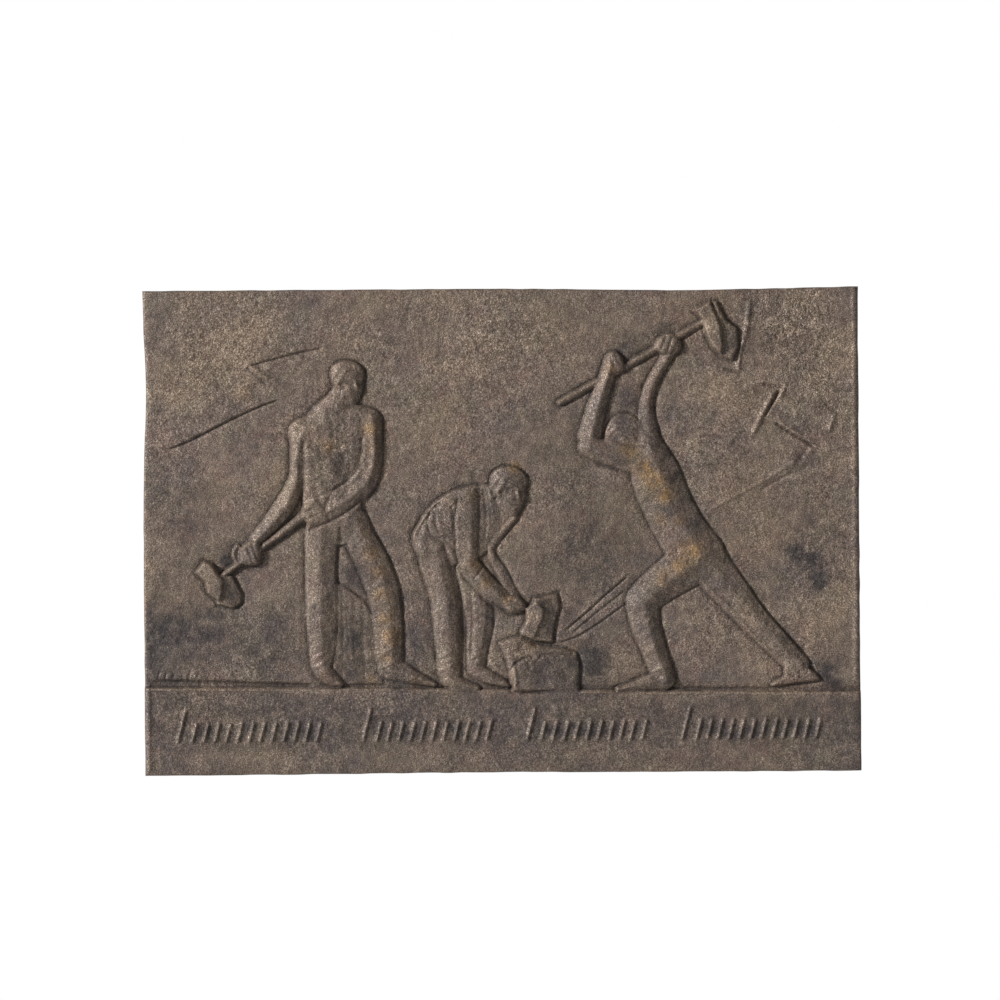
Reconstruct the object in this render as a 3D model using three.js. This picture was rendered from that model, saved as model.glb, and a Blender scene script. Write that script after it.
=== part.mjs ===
// Cast bronze relief plaque: three smiths at work over a plain ledge, one solid casting.
// Millimetres, +Z up. The flat back lies in the plane y = 0 with the origin at its centre,
// and the relief faces -Y. Heights below are measured from the ground of the relief.
import * as THREE from 'three';

// Panel
const width = 240;
const height = 162.5;
const groundDepth = 5.2;
const edgeChamfer = 0.6;

// The cast edges are not quite straight: how far each bows inwards, and where.
const leftBow = { depth: 1.1, at: 48, spread: 22 };
const topBow = { depth: 0.95, at: 63, spread: 42 };
const bottomBow = { depth: 0.35, at: 0, spread: 70 };

// Ledge under the figures: its top edge falls slightly from left to right.
const ledgeTop = -53.1;
const ledgeFall = 0.0125;
const ledgeRise = 1;
const ledgeFillet = 0.9;
const rootGroove = { depth: 0.45, offset: 0.8, spread: 0.7 };

// Low relief: the share of each figure's modelled height that is kept
const flattening = 0.64;

// Sunk margin round every figure, and the wider hollow it lies in
const margin = { depth: 0.24, offset: 0.3, spread: 0.8 };
const hollow = { depth: 0.12, spread: 2.6 };

// Surface mesh: the cells along each side, and the largest miss of the real surface by a
// triangle one cell long (longer triangles must fit more closely)
const cells = 256;
const flatness = 0.34;
const silhouetteSoftness = 1.2;
const smoothings = 3;

// ---------------------------------------------------------------- relief forms

const clamp01 = (value) => Math.min(1, Math.max(0, value));
const ease = (value) => THREE.MathUtils.smoothstep(value, 0, 1);
const bell = (value) => Math.exp(-value * value);

// The larger of two heights, blended over the depth k.
function blend(a, b, k) {
  const h = Math.max(k - Math.abs(a - b), 0) / k;
  return Math.max(a, b) + (h * h * k) / 4;
}

function extent(points, reach) {
  const box = new THREE.Box2();
  for (const [x, z, r = 0] of points) {
    box.expandByPoint(new THREE.Vector2(x - r - reach, z - r - reach));
    box.expandByPoint(new THREE.Vector2(x + r + reach, z + r + reach));
  }
  return box;
}

// Smooth line through [x, z, radius] stations, or round [x, z] corners when it is closed.
function smoothLine(stations, closed = false) {
  const points = stations.map(([x, z, r = 0]) => new THREE.Vector3(x, z, r));
  if (points.length === 1) points.push(new THREE.Vector3(points[0].x + 0.01, points[0].y, points[0].z));
  if (points.length === 2) return points;
  const curve = new THREE.CatmullRomCurve3(points, closed, 'catmullrom', 0.5);
  return curve.getPoints((points.length - (closed ? 0 : 1)) * 6);
}

function smoothOutline(corners) {
  return smoothLine(corners, true).slice(0, -1).map((point) => [point.x, point.y]);
}

// Distance from the centre line: as a share of the radius, beyond the radius, and on which side.
function nearest(line, x, z) {
  const found = { share: Infinity, beyond: Infinity, side: 0 };
  for (let i = 1; i < line.length; i++) {
    const a = line[i - 1];
    const b = line[i];
    const dx = b.x - a.x;
    const dz = b.y - a.y;
    const length2 = dx * dx + dz * dz;
    const t = clamp01(((x - a.x) * dx + (z - a.y) * dz) / length2);
    const ex = x - a.x - t * dx;
    const ez = z - a.y - t * dz;
    const radius = a.z + t * (b.z - a.z);
    const distance = Math.hypot(ex, ez);
    found.beyond = Math.min(found.beyond, distance - radius);
    if (distance / radius < found.share) {
      found.share = distance / radius;
      found.side = (dx * ez - dz * ex) / Math.sqrt(length2) / radius;
    }
  }
  return found;
}

// A limb or trunk about a centre line: two planes meeting at a soft crest off the axis.
// fade sinks the edge on the crest's side towards the ground.
function limb(stations, crown, options = {}) {
  const { edge = 0.6, join = 1.2, crease = 0, power = 1.3, crest = 0.18, fade = 0 } = options;
  const line = smoothLine(stations);
  const box = extent(stations, 9);
  return (x, z) => {
    if (!box.containsPoint({ x, y: z })) return null;
    const { share, beyond, side } = nearest(line, x, z);
    const across = (side - crest) / (side > crest ? 1 - crest : 1 + crest);
    const past = Math.sqrt(Math.max(share * share - side * side, 0));
    const rise = 1 - Math.pow(clamp01(Math.hypot(across, past)), power);
    const foot = edge * (1 - fade * ease(side));
    return { gap: beyond, join, crease, height: foot + (crown - foot) * rise };
  };
}

// Signed distance to a polygon, negative inside.
function outlineDistance(corners, x, z) {
  let best = Infinity;
  let inside = false;
  for (let i = 0, j = corners.length - 1; i < corners.length; j = i++) {
    const [ax, az] = corners[j];
    const [bx, bz] = corners[i];
    const dx = bx - ax;
    const dz = bz - az;
    const t = clamp01(((x - ax) * dx + (z - az) * dz) / (dx * dx + dz * dz));
    best = Math.min(best, Math.hypot(x - ax - t * dx, z - az - t * dz));
    if (az > z !== bz > z && x < ((bx - ax) * (z - az)) / (bz - az) + ax) inside = !inside;
  }
  return inside ? -best : best;
}

// A slab with a rounded rim, level or tilted about its middle, with straight or curved sides.
function slab(corners, crown, options = {}) {
  const { edge = 0.6, join = 1.2, crease = 0, soft = 2, tilt = [0, 0], curved = false } = options;
  const outline = curved ? smoothOutline(corners) : corners;
  const box = extent(corners, 9);
  const middle = box.getCenter(new THREE.Vector2());
  return (x, z) => {
    if (!box.containsPoint({ x, y: z })) return null;
    const gap = outlineDistance(outline, x, z);
    const top = crown - edge + tilt[0] * (x - middle.x) + tilt[1] * (z - middle.y);
    return { gap, join, crease, height: edge + top * (1 - Math.pow(1 - clamp01(-gap / soft), 2.2)) };
  };
}

// A gentle swelling (or dent) added to the forms before it.
function swelling(stations, rise) {
  const line = smoothLine(stations);
  const box = extent(stations, 8);
  return (x, z) => {
    if (!box.containsPoint({ x, y: z })) return null;
    return { added: rise * bell(nearest(line, x, z).share * 1.2) };
  };
}

// A thin even layer, such as hair, laid over the forms before it.
function layer(corners, rise, soft = 0.9) {
  const outline = smoothOutline(corners);
  const box = extent(corners, 3);
  return (x, z) => {
    if (!box.containsPoint({ x, y: z })) return null;
    return { added: rise * ease(0.5 - outlineDistance(outline, x, z) / soft) };
  };
}

// The height of a group of forms at a point, and how far the point is outside them.
function groupAt(forms, x, z) {
  let top = -Infinity;
  let gap = Infinity;
  for (const form of forms) {
    const found = form(x, z);
    if (!found) continue;
    if (found.added !== undefined) {
      top += found.added;
      continue;
    }
    gap = Math.min(gap, found.gap);
    top -= found.crease * bell(Math.max(found.gap, 0) / 0.6);
    if (found.gap < 0) top = top > -Infinity ? blend(top, found.height, found.join) : found.height;
  }
  return { top, gap };
}

// A head turned half aside by the usual rules: eyes at the half, nose and ear in the third below.
// Lean is in degrees, and depth scales the features.
function head([atX, atZ], size, lean, crown, depth = 1) {
  const turn = THREE.MathUtils.degToRad(lean);
  const place = (points) => points.map(([u, v, ...radii]) => {
    const across = u * size;
    const up = (v - 0.5) * size;
    return [
      atX + across * Math.cos(turn) + up * Math.sin(turn),
      atZ + up * Math.cos(turn) - across * Math.sin(turn),
      ...radii.map((radius) => radius * size),
    ];
  });
  const outline = [[0, 1], [0.2, 0.96], [0.33, 0.85], [0.375, 0.7], [0.35, 0.56], [0.365, 0.45],
    [0.335, 0.29], [0.27, 0.11], [0.19, 0.01], [0.08, 0], [-0.06, 0.08], [-0.18, 0.2], [-0.26, 0.36],
    [-0.36, 0.52], [-0.39, 0.7], [-0.34, 0.86], [-0.19, 0.97]];
  const hair = [[0, 1.05], [0.24, 1.01], [0.4, 0.88], [0.3, 0.845], [0.12, 0.83], [-0.02, 0.75],
    [-0.08, 0.62], [-0.11, 0.48], [-0.19, 0.47], [-0.25, 0.36], [-0.33, 0.32], [-0.42, 0.5],
    [-0.46, 0.7], [-0.4, 0.9], [-0.22, 1.03]];
  return {
    skull: slab(place(outline), crown,
      { edge: 0.9, join: 0.5, crease: 0.25, soft: 0.36 * size, curved: true }),
    socketA: swelling(place([[0.02, 0.51, 0.055], [0.1, 0.505, 0.05]]), -0.85 * depth),
    socketB: swelling(place([[0.26, 0.505, 0.05], [0.31, 0.51, 0.045]]), -0.78 * depth),
    nose: swelling(place([[0.185, 0.55, 0.04], [0.21, 0.44, 0.045], [0.235, 0.355, 0.055]]), 0.9 * depth),
    cheek: swelling(place([[0.06, 0.38, 0.08]]), 0.4 * depth),
    mouth: swelling(place([[0.09, 0.222, 0.03], [0.18, 0.228, 0.03], [0.255, 0.222, 0.03]]), -0.6 * depth),
    chin: swelling(place([[0.15, 0.07, 0.07]]), 0.45 * depth),
    hair: layer(place(hair), 0.55 * depth),
    ear: swelling(place([[-0.17, 0.53, 0.04], [-0.21, 0.47, 0.045], [-0.17, 0.38, 0.04]]), 0.9 * depth),
  };
}

// ---------------------------------------------------------------- figures

// Standing smith, a sledge held down across the body
const standingSmith = {
  coat: slab([[-57, -16], [-51.4, -19], [-46.4, -22.8], [-43, -28], [-40, -34], [-40, -51],
    [-57, -51]], 0.24, { edge: 0.1, soft: 0.5 }),
  trunk: slab([[-57.4, 46], [-61, 41.6], [-65.6, 38.9], [-69.8, 36.8], [-71, 33], [-69.5, 26],
    [-67, 14], [-65.8, 4], [-60, 0], [-51, 0], [-46.8, 5], [-46.6, 10.6], [-43, 17], [-41, 32],
    [-40.6, 39], [-43, 41.3], [-47.5, 42.8]], 2.9, { edge: 0.7, soft: 4.4, curved: true }),
  neck: limb([[-51.6, 47, 4.4], [-54.4, 42.6, 5], [-58, 37, 7]], 3.2,
    { edge: 0.7, join: 2.2, crest: 0 }),
  ...head([-51.3, 49.9], 15.2, 4, 3.4),
  hips: limb([[-59, 4, 6.4], [-54, 1.6, 6], [-50.6, 4, 4.8]], 2.2, { join: 1.4, crest: 0 }),
  leftLeg: limb([[-59.8, 4, 5.8], [-60.5, -5, 5.3], [-60.6, -25, 5.1], [-60.4, -36, 4.6],
    [-60.6, -44.5, 3.6]], 2.7, { join: 1.2, crest: 0 }),
  leftBoot: limb([[-60.2, -46.4, 3.1], [-58, -48.6, 2.8], [-54.4, -50.7, 1.4]], 2.6,
    { join: 0.4, crease: 0.3, crest: 0 }),
  rightLeg: limb([[-49.4, 4, 4.6], [-47.2, -2.5, 5.2], [-43.4, -10, 5.5], [-39.8, -20, 5.4],
    [-38.2, -30, 4.8], [-37.7, -38, 4.5], [-37.4, -44, 4.3]], 3, { join: 1.2, crest: 0.16, fade: 0.3 }),
  rightBoot: limb([[-37.4, -45.6, 4.1], [-32.5, -47.6, 3.1], [-27.5, -49.6, 2], [-23, -51.2, 1.1]], 2.6,
    { join: 0.5, crease: 0.25, crest: 0 }),
  leftArm: limb([[-66.4, 34.4, 4.1], [-68.2, 28, 2.5], [-68.5, 20, 2.3], [-69.8, 14.4, 3.1],
    [-73, 8.4, 3.4], [-77.4, 2.8, 2.9], [-82.2, -2.2, 2.3]], 3, { join: 1.7, crest: 0.1 }),
  handle: limb([[-63, 8.2, 1.9], [-70, 2.6, 1.6], [-79, -4, 1.2], [-95, -15.2, 1.1]], 2.5,
    { edge: 0.8, join: 0.2, crease: 0.3, crest: 0.2 }),
  cuff: limb([[-88.4, -5, 1.3], [-89, -7.2, 1.5], [-88.4, -9.6, 1.3]], 1.2,
    { edge: 0.7, join: 0.3, crest: 0 }),
  cuffHollow: swelling([[-88.5, -5.8, 0.8], [-88.9, -7.4, 0.9], [-88.5, -9, 0.8]], -1),
  leftHand: slab([[-87.6, -5.2], [-84.6, -2.6], [-81.4, -2.9], [-80.2, -6.2], [-81, -10.2],
    [-84.4, -11.3], [-87.6, -9.8]], 3.9,
    { edge: 1.3, join: 0.4, crease: 0.35, soft: 2.6, curved: true }),
  hammerSide: slab([[-95.4, -13.6], [-90.2, -14.2], [-87, -20.4], [-87.3, -23.6], [-90, -25.5],
    [-95.6, -24.2], [-96, -19]], 2, { edge: 0.6, soft: 0.9, tilt: [-0.2, 0] }),
  hammerFace: slab([[-103, -13.2], [-99.8, -9.2], [-96.6, -10.2], [-95, -13], [-92.8, -15.8],
    [-93.4, -22], [-94.8, -23.4], [-98.8, -20.2], [-99.6, -16.6], [-101.4, -14.8]], 3.5,
    { edge: 1.1, soft: 1.2, join: 0.3, tilt: [0.16, 0.04] }),
  hammerDent: swelling([[-97.8, -20.2, 1.2], [-96.4, -21.6, 1.1]], -0.5),
  rightArm: limb([[-43.4, 37.6, 3.7], [-42.9, 30, 3.1], [-43.1, 23.5, 3.2], [-45.2, 17.6, 3.9],
    [-49.6, 12.8, 4], [-55, 9.2, 3.8], [-60.4, 6.2, 3.5]], 3.9,
    { edge: 1, join: 0.9, crest: 0.15, fade: 0.3 }),
  rightHand: slab([[-66.6, 9], [-63, 11.8], [-59.6, 10.4], [-58, 6], [-60, 2.6], [-64, 2.2],
    [-66.8, 4.6]], 3.6, { edge: 0.8, join: 0.8, soft: 2.6, curved: true }),
  forearmLine: swelling([[-46, 11.6, 0.5], [-51.4, 7, 0.65], [-57, 3.8, 0.7], [-64, 1, 0.6]], -1.1),
  chest: swelling([[-64, 34, 4], [-58.5, 32.5, 5]], 0.7),
  breast: swelling([[-52, 34, 4.2], [-49.5, 34.6, 4]], 0.4),
  breastFold: swelling([[-63, 28.6, 1.2], [-57, 27.4, 1.4], [-52, 29.2, 1.2]], -0.45),
  collar: swelling([[-58, 40.6, 0.8], [-53.4, 40, 1], [-49.6, 42.4, 0.8]], -0.3),
  belly: swelling([[-56, 22, 3.2], [-57, 13, 3.6]], 0.3),
  shirtFoldB: swelling([[-52.4, 24, 0.9], [-54, 18, 1]], -0.3),
  leftSide: swelling([[-66.2, 30, 0.7], [-65.9, 22, 1.1], [-66.4, 14, 1.2], [-68.6, 8.8, 0.9]], -0.85),
  rightSide: swelling([[-46.6, 31, 0.7], [-47, 24.4, 1], [-51, 18.2, 1], [-56, 14.2, 0.8]], -0.7),
  fork: swelling([[-54, 1, 0.9], [-53.8, -3, 1.3]], -1.1),
};

// Bending smith, steadying the work on the anvil with both hands
const bendingSmith = {
  farArm: limb([[4.8, 4.6, 0.9], [0.8, 0, 1.1], [-3.4, -5.6, 1.2], [-2.6, -9.4, 1.5],
    [-0.2, -13.6, 1.9], [2.2, -18.4, 1.8], [5, -22.6, 1.5]], 1.3, { edge: 0.5, crest: -0.1 }),
  farLeg: limb([[-11, -13, 4.6], [-8.4, -22, 5], [-7.4, -31, 4.4], [-8.4, -39, 3.5],
    [-8.8, -46, 3]], 1.9, { edge: 0.4, crest: 0.1, fade: 0.5 }),
  farBoot: limb([[-8, -47.4, 2.6], [-3.6, -49.4, 2.2], [1.8, -51.6, 1.1]], 1.9,
    { join: 0.5, crease: 0.2, crest: 0 }),
  trunk: slab([[-7.6, 15], [-11, 15.2], [-15, 14.2], [-20.4, 11.4], [-25, 7.2], [-28.4, 1.8], [-30, -2],
    [-28, -8], [-20, -12], [-14, -11], [-9, -9], [-8, -2], [-7.8, 6]], 2.5,
    { edge: 0.6, soft: 3.6, curved: true }),
  nearLeg: limb([[-22.6, -2, 6.6], [-21.6, -11, 5.8], [-19.4, -20, 5.2], [-18.3, -30, 4.8],
    [-17.9, -40, 4.4], [-17.8, -47, 3.9]], 3.1, { join: 1.4, crest: 0.1 }),
  nearBoot: limb([[-18, -49.6, 2.9], [-13.6, -51.4, 2.1], [-8.6, -52.6, 1.2]], 2.4,
    { join: 0.6, crease: 0.2, crest: 0 }),
  upperArm: limb([[-11.4, 11, 3.8], [-11.4, 4, 3.7], [-11.6, -3, 3.5], [-11.4, -9.6, 3.3]], 3.2,
    { edge: 1.2, join: 1.5, crest: 0.34 }),
  forearm: limb([[-11.2, -11, 3.6], [-6.6, -16.6, 3.6], [-1.6, -21.2, 3.2], [2.2, -24.4, 2.6]], 3.5,
    { edge: 0.8, join: 1.2, crease: 0.1, crest: 0.05 }),
  sleeve: swelling([[-14.6, 10.6, 0.6], [-15.6, 4, 0.7], [-15.3, -3, 0.7], [-15.4, -7, 0.6],
    [-13.8, -13, 0.6]], -0.8),
  forearmLine: swelling([[-13.4, -14.6, 0.55], [-9.4, -19.2, 0.6], [-4.6, -24, 0.6],
    [1.4, -28.4, 0.5]], -0.9),
  nearHand: slab([[1.4, -22], [4.4, -21.4], [7.6, -23.6], [8.4, -26], [6.4, -27.4], [3, -28],
    [0.8, -26]], 3.7, { edge: 0.9, join: 0.9, soft: 2.2, curved: true }),
  ...head([2.4, 13.4], 16.6, 5, 3.4, 1.15),
  shirtTail: swelling([[-24.8, 6, 0.7], [-29, 0.2, 0.7], [-29.6, -2.6, 0.6]], 0.6),
  shirtFoldA: swelling([[-23.6, 8, 0.6], [-24.2, 4, 0.7], [-23.4, 0.6, 0.5]], -0.6),
  hip: swelling([[-26.8, -3, 1.6], [-26, -8, 1.6]], 0.5),
  waist: swelling([[-24.5, -1.8, 0.8], [-19.4, -3.4, 1], [-15.4, -6.6, 0.8]], -0.55),
  fork: swelling([[-19.2, -5, 0.9], [-16.4, -13, 1.3], [-14.4, -21, 1.4], [-13.6, -32, 1.2],
    [-13.9, -44, 1]], -0.9),
};

// Anvil stone with the work on it
const anvil = {
  stone: slab([[-1.4, -37.4], [3.4, -35.6], [6.4, -35.4], [11, -37.8], [14.4, -38.8], [20.4, -39.2],
    [25.2, -41], [26, -45], [25.8, -53.9], [3.2, -54], [2.2, -50], [1.6, -45], [0.4, -41]], 2,
    { edge: 0.5, soft: 2.6, tilt: [-0.05, -0.02] }),
  stoneFace: slab([[2.8, -46], [5, -43.6], [8.6, -41.8], [14, -42.8], [18, -41.4], [23, -41.6],
    [25.4, -44.6], [25.2, -54], [3.4, -54]], 2.2,
    { edge: 0.8, soft: 1.6, join: 0.9, tilt: [-0.09, -0.03] }),
  stoneLedge: swelling([[3.2, -45, 0.9], [4.4, -49, 1], [3.8, -53, 0.8]], 0.5),
  stonePitA: swelling([[12, -48, 1.4], [15, -50.4, 1.2]], -0.3),
  stonePitB: swelling([[20, -45.8, 1.2], [22.4, -49, 1.3]], -0.35),
  stoneCrack: swelling([[7.6, -45.8, 0.5], [9, -43.6, 0.7], [13.4, -42.6, 0.7],
    [15.6, -41.8, 0.5]], -0.7),
  workSide: slab([[10.4, -22.4], [13.6, -22], [18.8, -20.9], [19.4, -25.5], [17.8, -31], [17, -37.6],
    [10.4, -37]], 2.2, { edge: 0.6, soft: 0.8, tilt: [-0.3, 0] }),
  workFace: slab([[7.6, -26], [11.4, -23], [14.4, -26], [14, -29.6], [12.6, -32.4], [10.8, -36.8],
    [6.2, -35.2], [6, -33.4], [8, -30]], 3.9, { edge: 1.4, soft: 0.9, join: 0.2, tilt: [0.16, -0.02] }),
};

// Striking smith, a sledge swung back over the shoulder
const strikingSmith = {
  handle: limb([[20, 42.9, 1.2], [44, 56, 1.3], [68, 69.4, 1.2]], 1.8, { edge: 0.6, crest: 0.1 }),
  hammerSide: slab([[70.6, 76.6], [73, 76.6], [75.8, 70.4], [79.6, 67.6], [79.9, 61], [77.8, 56.4],
    [73.4, 57.6], [73.4, 66]], 2.5, { edge: 0.6, soft: 0.9, tilt: [-0.2, 0] }),
  hammerFace: slab([[64.6, 73.6], [70.6, 76.9], [74.2, 68.4], [75, 61], [74, 57.8], [70.6, 61],
    [68.2, 66.4], [67.6, 70]], 3.9, { edge: 1.2, soft: 1.2, join: 0.3, tilt: [0.16, 0] }),
  farArm: limb([[57, 59.6, 1.9], [53.6, 54.2, 2], [50.6, 48.6, 2.1], [49, 42.6, 2.3], [49, 37, 2.9],
    [49.6, 32, 3.6]], 2.1, { edge: 0.5, crest: 0.15, fade: 0.3 }),
  hair: slab([[35, 29], [34.9, 33.4], [37, 37.2], [40.9, 39.2], [44.8, 38.2], [47.6, 35], [48.4, 30],
    [46, 26], [38, 26]], 2.3, { edge: 0.5, soft: 4.6, curved: true }),
  farHand: slab([[51.6, 61.4], [53.6, 65], [57.6, 66], [60.6, 63.6], [60.6, 60.4], [57.4, 58.2],
    [53.6, 58.8]], 3.3, { edge: 0.9, join: 0.5, crease: 0.2, soft: 2.2, curved: true }),
  rearLeg: limb([[69, -11.4, 7.1], [76.6, -20.7, 6.1], [84.3, -30.1, 5], [92.4, -38.6, 4.4],
    [99, -45.6, 4]], 2.4, { edge: 0.45, crest: 0.1 }),
  rearFoot: slab([[94.6, -45.6], [99, -43.6], [103.2, -46.6], [106.4, -49.7], [105.6, -51.1], [98, -51.9],
    [90.4, -52.8], [90.8, -51], [94, -49.2]], 1.9, { edge: 0.5, soft: 1.8, join: 0.7, curved: true }),
  trunk: limb([[48.6, 28.4, 5.6], [51.8, 18.6, 8.2], [55.6, 8.6, 8.4], [60.4, -0.5, 8.5],
    [65.6, -8.5, 9.2]], 4.4, { edge: 0.7, crest: 0.16, fade: 0.4, join: 1.4 }),
  upperArm: limb([[29.8, 28, 3.9], [36, 26, 4.4], [43, 24.4, 5], [49, 24, 6]], 3.7,
    { edge: 0.7, join: 1.8, crest: -0.1 }),
  forearm: limb([[37.2, 57, 2.5], [35.4, 50.6, 2.7], [33.2, 44.4, 3.1], [31.4, 38, 3.5],
    [29.8, 31.4, 4]], 3.9, { edge: 0.7, join: 1.2, crest: 0.1 }),
  nearHand: slab([[34.8, 56], [36, 59.4], [38.8, 60.2], [41.4, 57.6], [41.6, 53.8], [38.4, 52.4],
    [35.4, 53.2]], 3.7, { edge: 0.9, join: 0.7, soft: 2.2, curved: true }),
  thigh: limb([[66.4, -8.6, 8.4], [59, -14.2, 7], [51.4, -19.6, 6], [47.2, -23.6, 5.6]], 4.4,
    { edge: 0.8, join: 1.8, crest: 0.14 }),
  shin: limb([[47, -25, 5.5], [48.2, -32, 4.9], [50.8, -40, 4.3], [53.4, -47.4, 3.9],
    [54.2, -50, 3.8]], 3.9, { edge: 0.8, join: 1.6, crest: 0.12 }),
  foot: limb([[54.4, -50.4, 3.2], [48.4, -51.2, 2.5], [43, -52.4, 1.6], [38.6, -53.4, 1]], 2.6,
    { edge: 0.7, join: 0.8, crest: 0 }),
  chest: swelling([[46.6, 20.6, 3], [50.6, 15.4, 4]], 0.45),
  ribs: swelling([[50, 9.6, 1.4], [55.6, 10.8, 1.6], [59, 8, 1.2]], -0.3),
  waist: swelling([[52.4, 2.2, 1.1], [57.4, 4, 1.4], [62, 2.6, 1]], -0.3),
  groin: swelling([[58.6, -7, 1], [64.6, -4.4, 1.4], [70.6, -6, 1.2]], -0.4),
  armpit: swelling([[45.8, 30.6, 0.9], [50.2, 29.2, 1.1]], -0.5),
  elbowPit: swelling([[32.8, 32, 1], [34, 30.2, 0.9]], -0.4),
  muscle: swelling([[38, 26.6, 2.2], [43, 25.4, 2.4]], 0.3),
};

const groups = [standingSmith, bendingSmith, anvil, strikingSmith].map(Object.values);

// ---------------------------------------------------------------- surface

// Height of the relief over its ground at a point of the panel.
function reliefAt(x, z) {
  const above = z - (ledgeTop - ledgeFall * x);
  let top = -rootGroove.depth * bell((above - rootGroove.offset) / rootGroove.spread);
  top += ledgeRise * ease(0.5 - above / ledgeFillet);
  for (const forms of groups) {
    const { top: raised, gap } = groupAt(forms, x, z);
    const outside = Math.max(gap, 0);
    top -= margin.depth * bell((outside - margin.offset) / margin.spread);
    top -= hollow.depth * bell(outside / hollow.spread);
    if (raised === -Infinity || above < -1.5) continue;
    const share = clamp01(-gap / silhouetteSoftness);
    top = Math.max(top, top + (raised * flattening - top) * share);
  }
  return top;
}

// Where a point of the ideal rectangle lies once the edges have bowed.
function bowed(u, v, inset) {
  const x = u * (width / 2 - inset);
  const z = v * (height / 2 - inset);
  const left = u < 0 ? leftBow.depth * bell((z - leftBow.at) / leftBow.spread) * u ** 4 : 0;
  const top = v > 0 ? topBow.depth * bell((x - topBow.at) / topBow.spread) * v ** 4 : 0;
  const low = v < 0 ? bottomBow.depth * bell((x - bottomBow.at) / bottomBow.spread) * v ** 4 : 0;
  return [x + left, z - top + low];
}

// Height samples on the square grid that the surface triangles are drawn from.
function sampleHeights() {
  const heights = new Float64Array((cells + 1) ** 2);
  for (let row = 0; row <= cells; row++) {
    for (let column = 0; column <= cells; column++) {
      const [x, z] = bowed((2 * column) / cells - 1, (2 * row) / cells - 1, edgeChamfer);
      heights[row * (cells + 1) + column] = groundDepth + reliefAt(x, z);
    }
  }
  return heights;
}

// Each sample eased towards its neighbours, so that steep outlines keep an even slope.
function smoothed(heights) {
  const size = cells + 1;
  const at = (row, column) => {
    const r = Math.min(cells, Math.max(0, row));
    const c = Math.min(cells, Math.max(0, column));
    return heights[r * size + c];
  };
  return heights.map((value, i) => {
    const row = Math.floor(i / size);
    const column = i % size;
    const beside = at(row, column - 1) + at(row, column + 1) + at(row - 1, column) + at(row + 1, column);
    return (value * 4 + beside * 2) / 12;
  });
}

// Halving right triangles: how far each midpoint, or any below it, lies off the coarser surface.
function midpointErrors(heights) {
  const size = cells + 1;
  const errors = new Float64Array(size * size);
  const count = cells * cells * 2 - 2;
  for (let i = count - 1; i >= 0; i--) {
    let id = i + 2;
    let [ax, ay, bx, by, cx, cy] = id & 1 ? [0, 0, cells, cells, cells, 0]
      : [cells, cells, 0, 0, 0, cells];
    while ((id >>= 1) > 1) {
      const halfX = (ax + bx) / 2;
      const halfY = (ay + by) / 2;
      [ax, ay, bx, by] = id & 1 ? [cx, cy, ax, ay] : [bx, by, cx, cy];
      [cx, cy] = [halfX, halfY];
    }
    const middle = ((ay + by) / 2) * size + (ax + bx) / 2;
    const level = (heights[ay * size + ax] + heights[by * size + bx]) / 2;
    const span = Math.hypot(bx - ax, by - ay);
    errors[middle] = Math.max(errors[middle], Math.abs(level - heights[middle]) * Math.sqrt(span));
    if (i < count - cells * cells) {
      const left = ((ay + cy) / 2) * size + (ax + cx) / 2;
      const right = ((by + cy) / 2) * size + (bx + cx) / 2;
      errors[middle] = Math.max(errors[middle], errors[left], errors[right]);
    }
  }
  return errors;
}

// The front surface as grid triangles, fine only where the relief needs it.
function frontTriangles(heights) {
  const size = cells + 1;
  const errors = midpointErrors(heights);
  const triangles = [];
  const split = (ax, ay, bx, by, cx, cy) => {
    const mx = (ax + bx) / 2;
    const my = (ay + by) / 2;
    if (Math.abs(ax - cx) + Math.abs(ay - cy) > 1 && errors[my * size + mx] > flatness) {
      split(cx, cy, ax, ay, mx, my);
      split(bx, by, cx, cy, mx, my);
      return;
    }
    triangles.push([ay * size + ax, cy * size + cx, by * size + bx]);
  };
  split(0, 0, cells, cells, cells, 0);
  split(cells, cells, 0, 0, 0, cells);
  return triangles;
}

// The grid points used along the rim, in order anticlockwise as seen from the front.
function rimOf(triangles) {
  const size = cells + 1;
  const next = new Map();
  const key = (a, b) => a * size * size + b;
  const seen = new Set();
  for (const [a, b, c] of triangles) {
    for (const [p, q] of [[a, b], [b, c], [c, a]]) seen.add(key(p, q));
  }
  for (const [a, b, c] of triangles) {
    for (const [p, q] of [[a, b], [b, c], [c, a]]) if (!seen.has(key(q, p))) next.set(p, q);
  }
  const start = next.keys().next().value;
  const rim = [start];
  while (next.get(rim[rim.length - 1]) !== start) rim.push(next.get(rim[rim.length - 1]));
  return rim;
}

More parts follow.
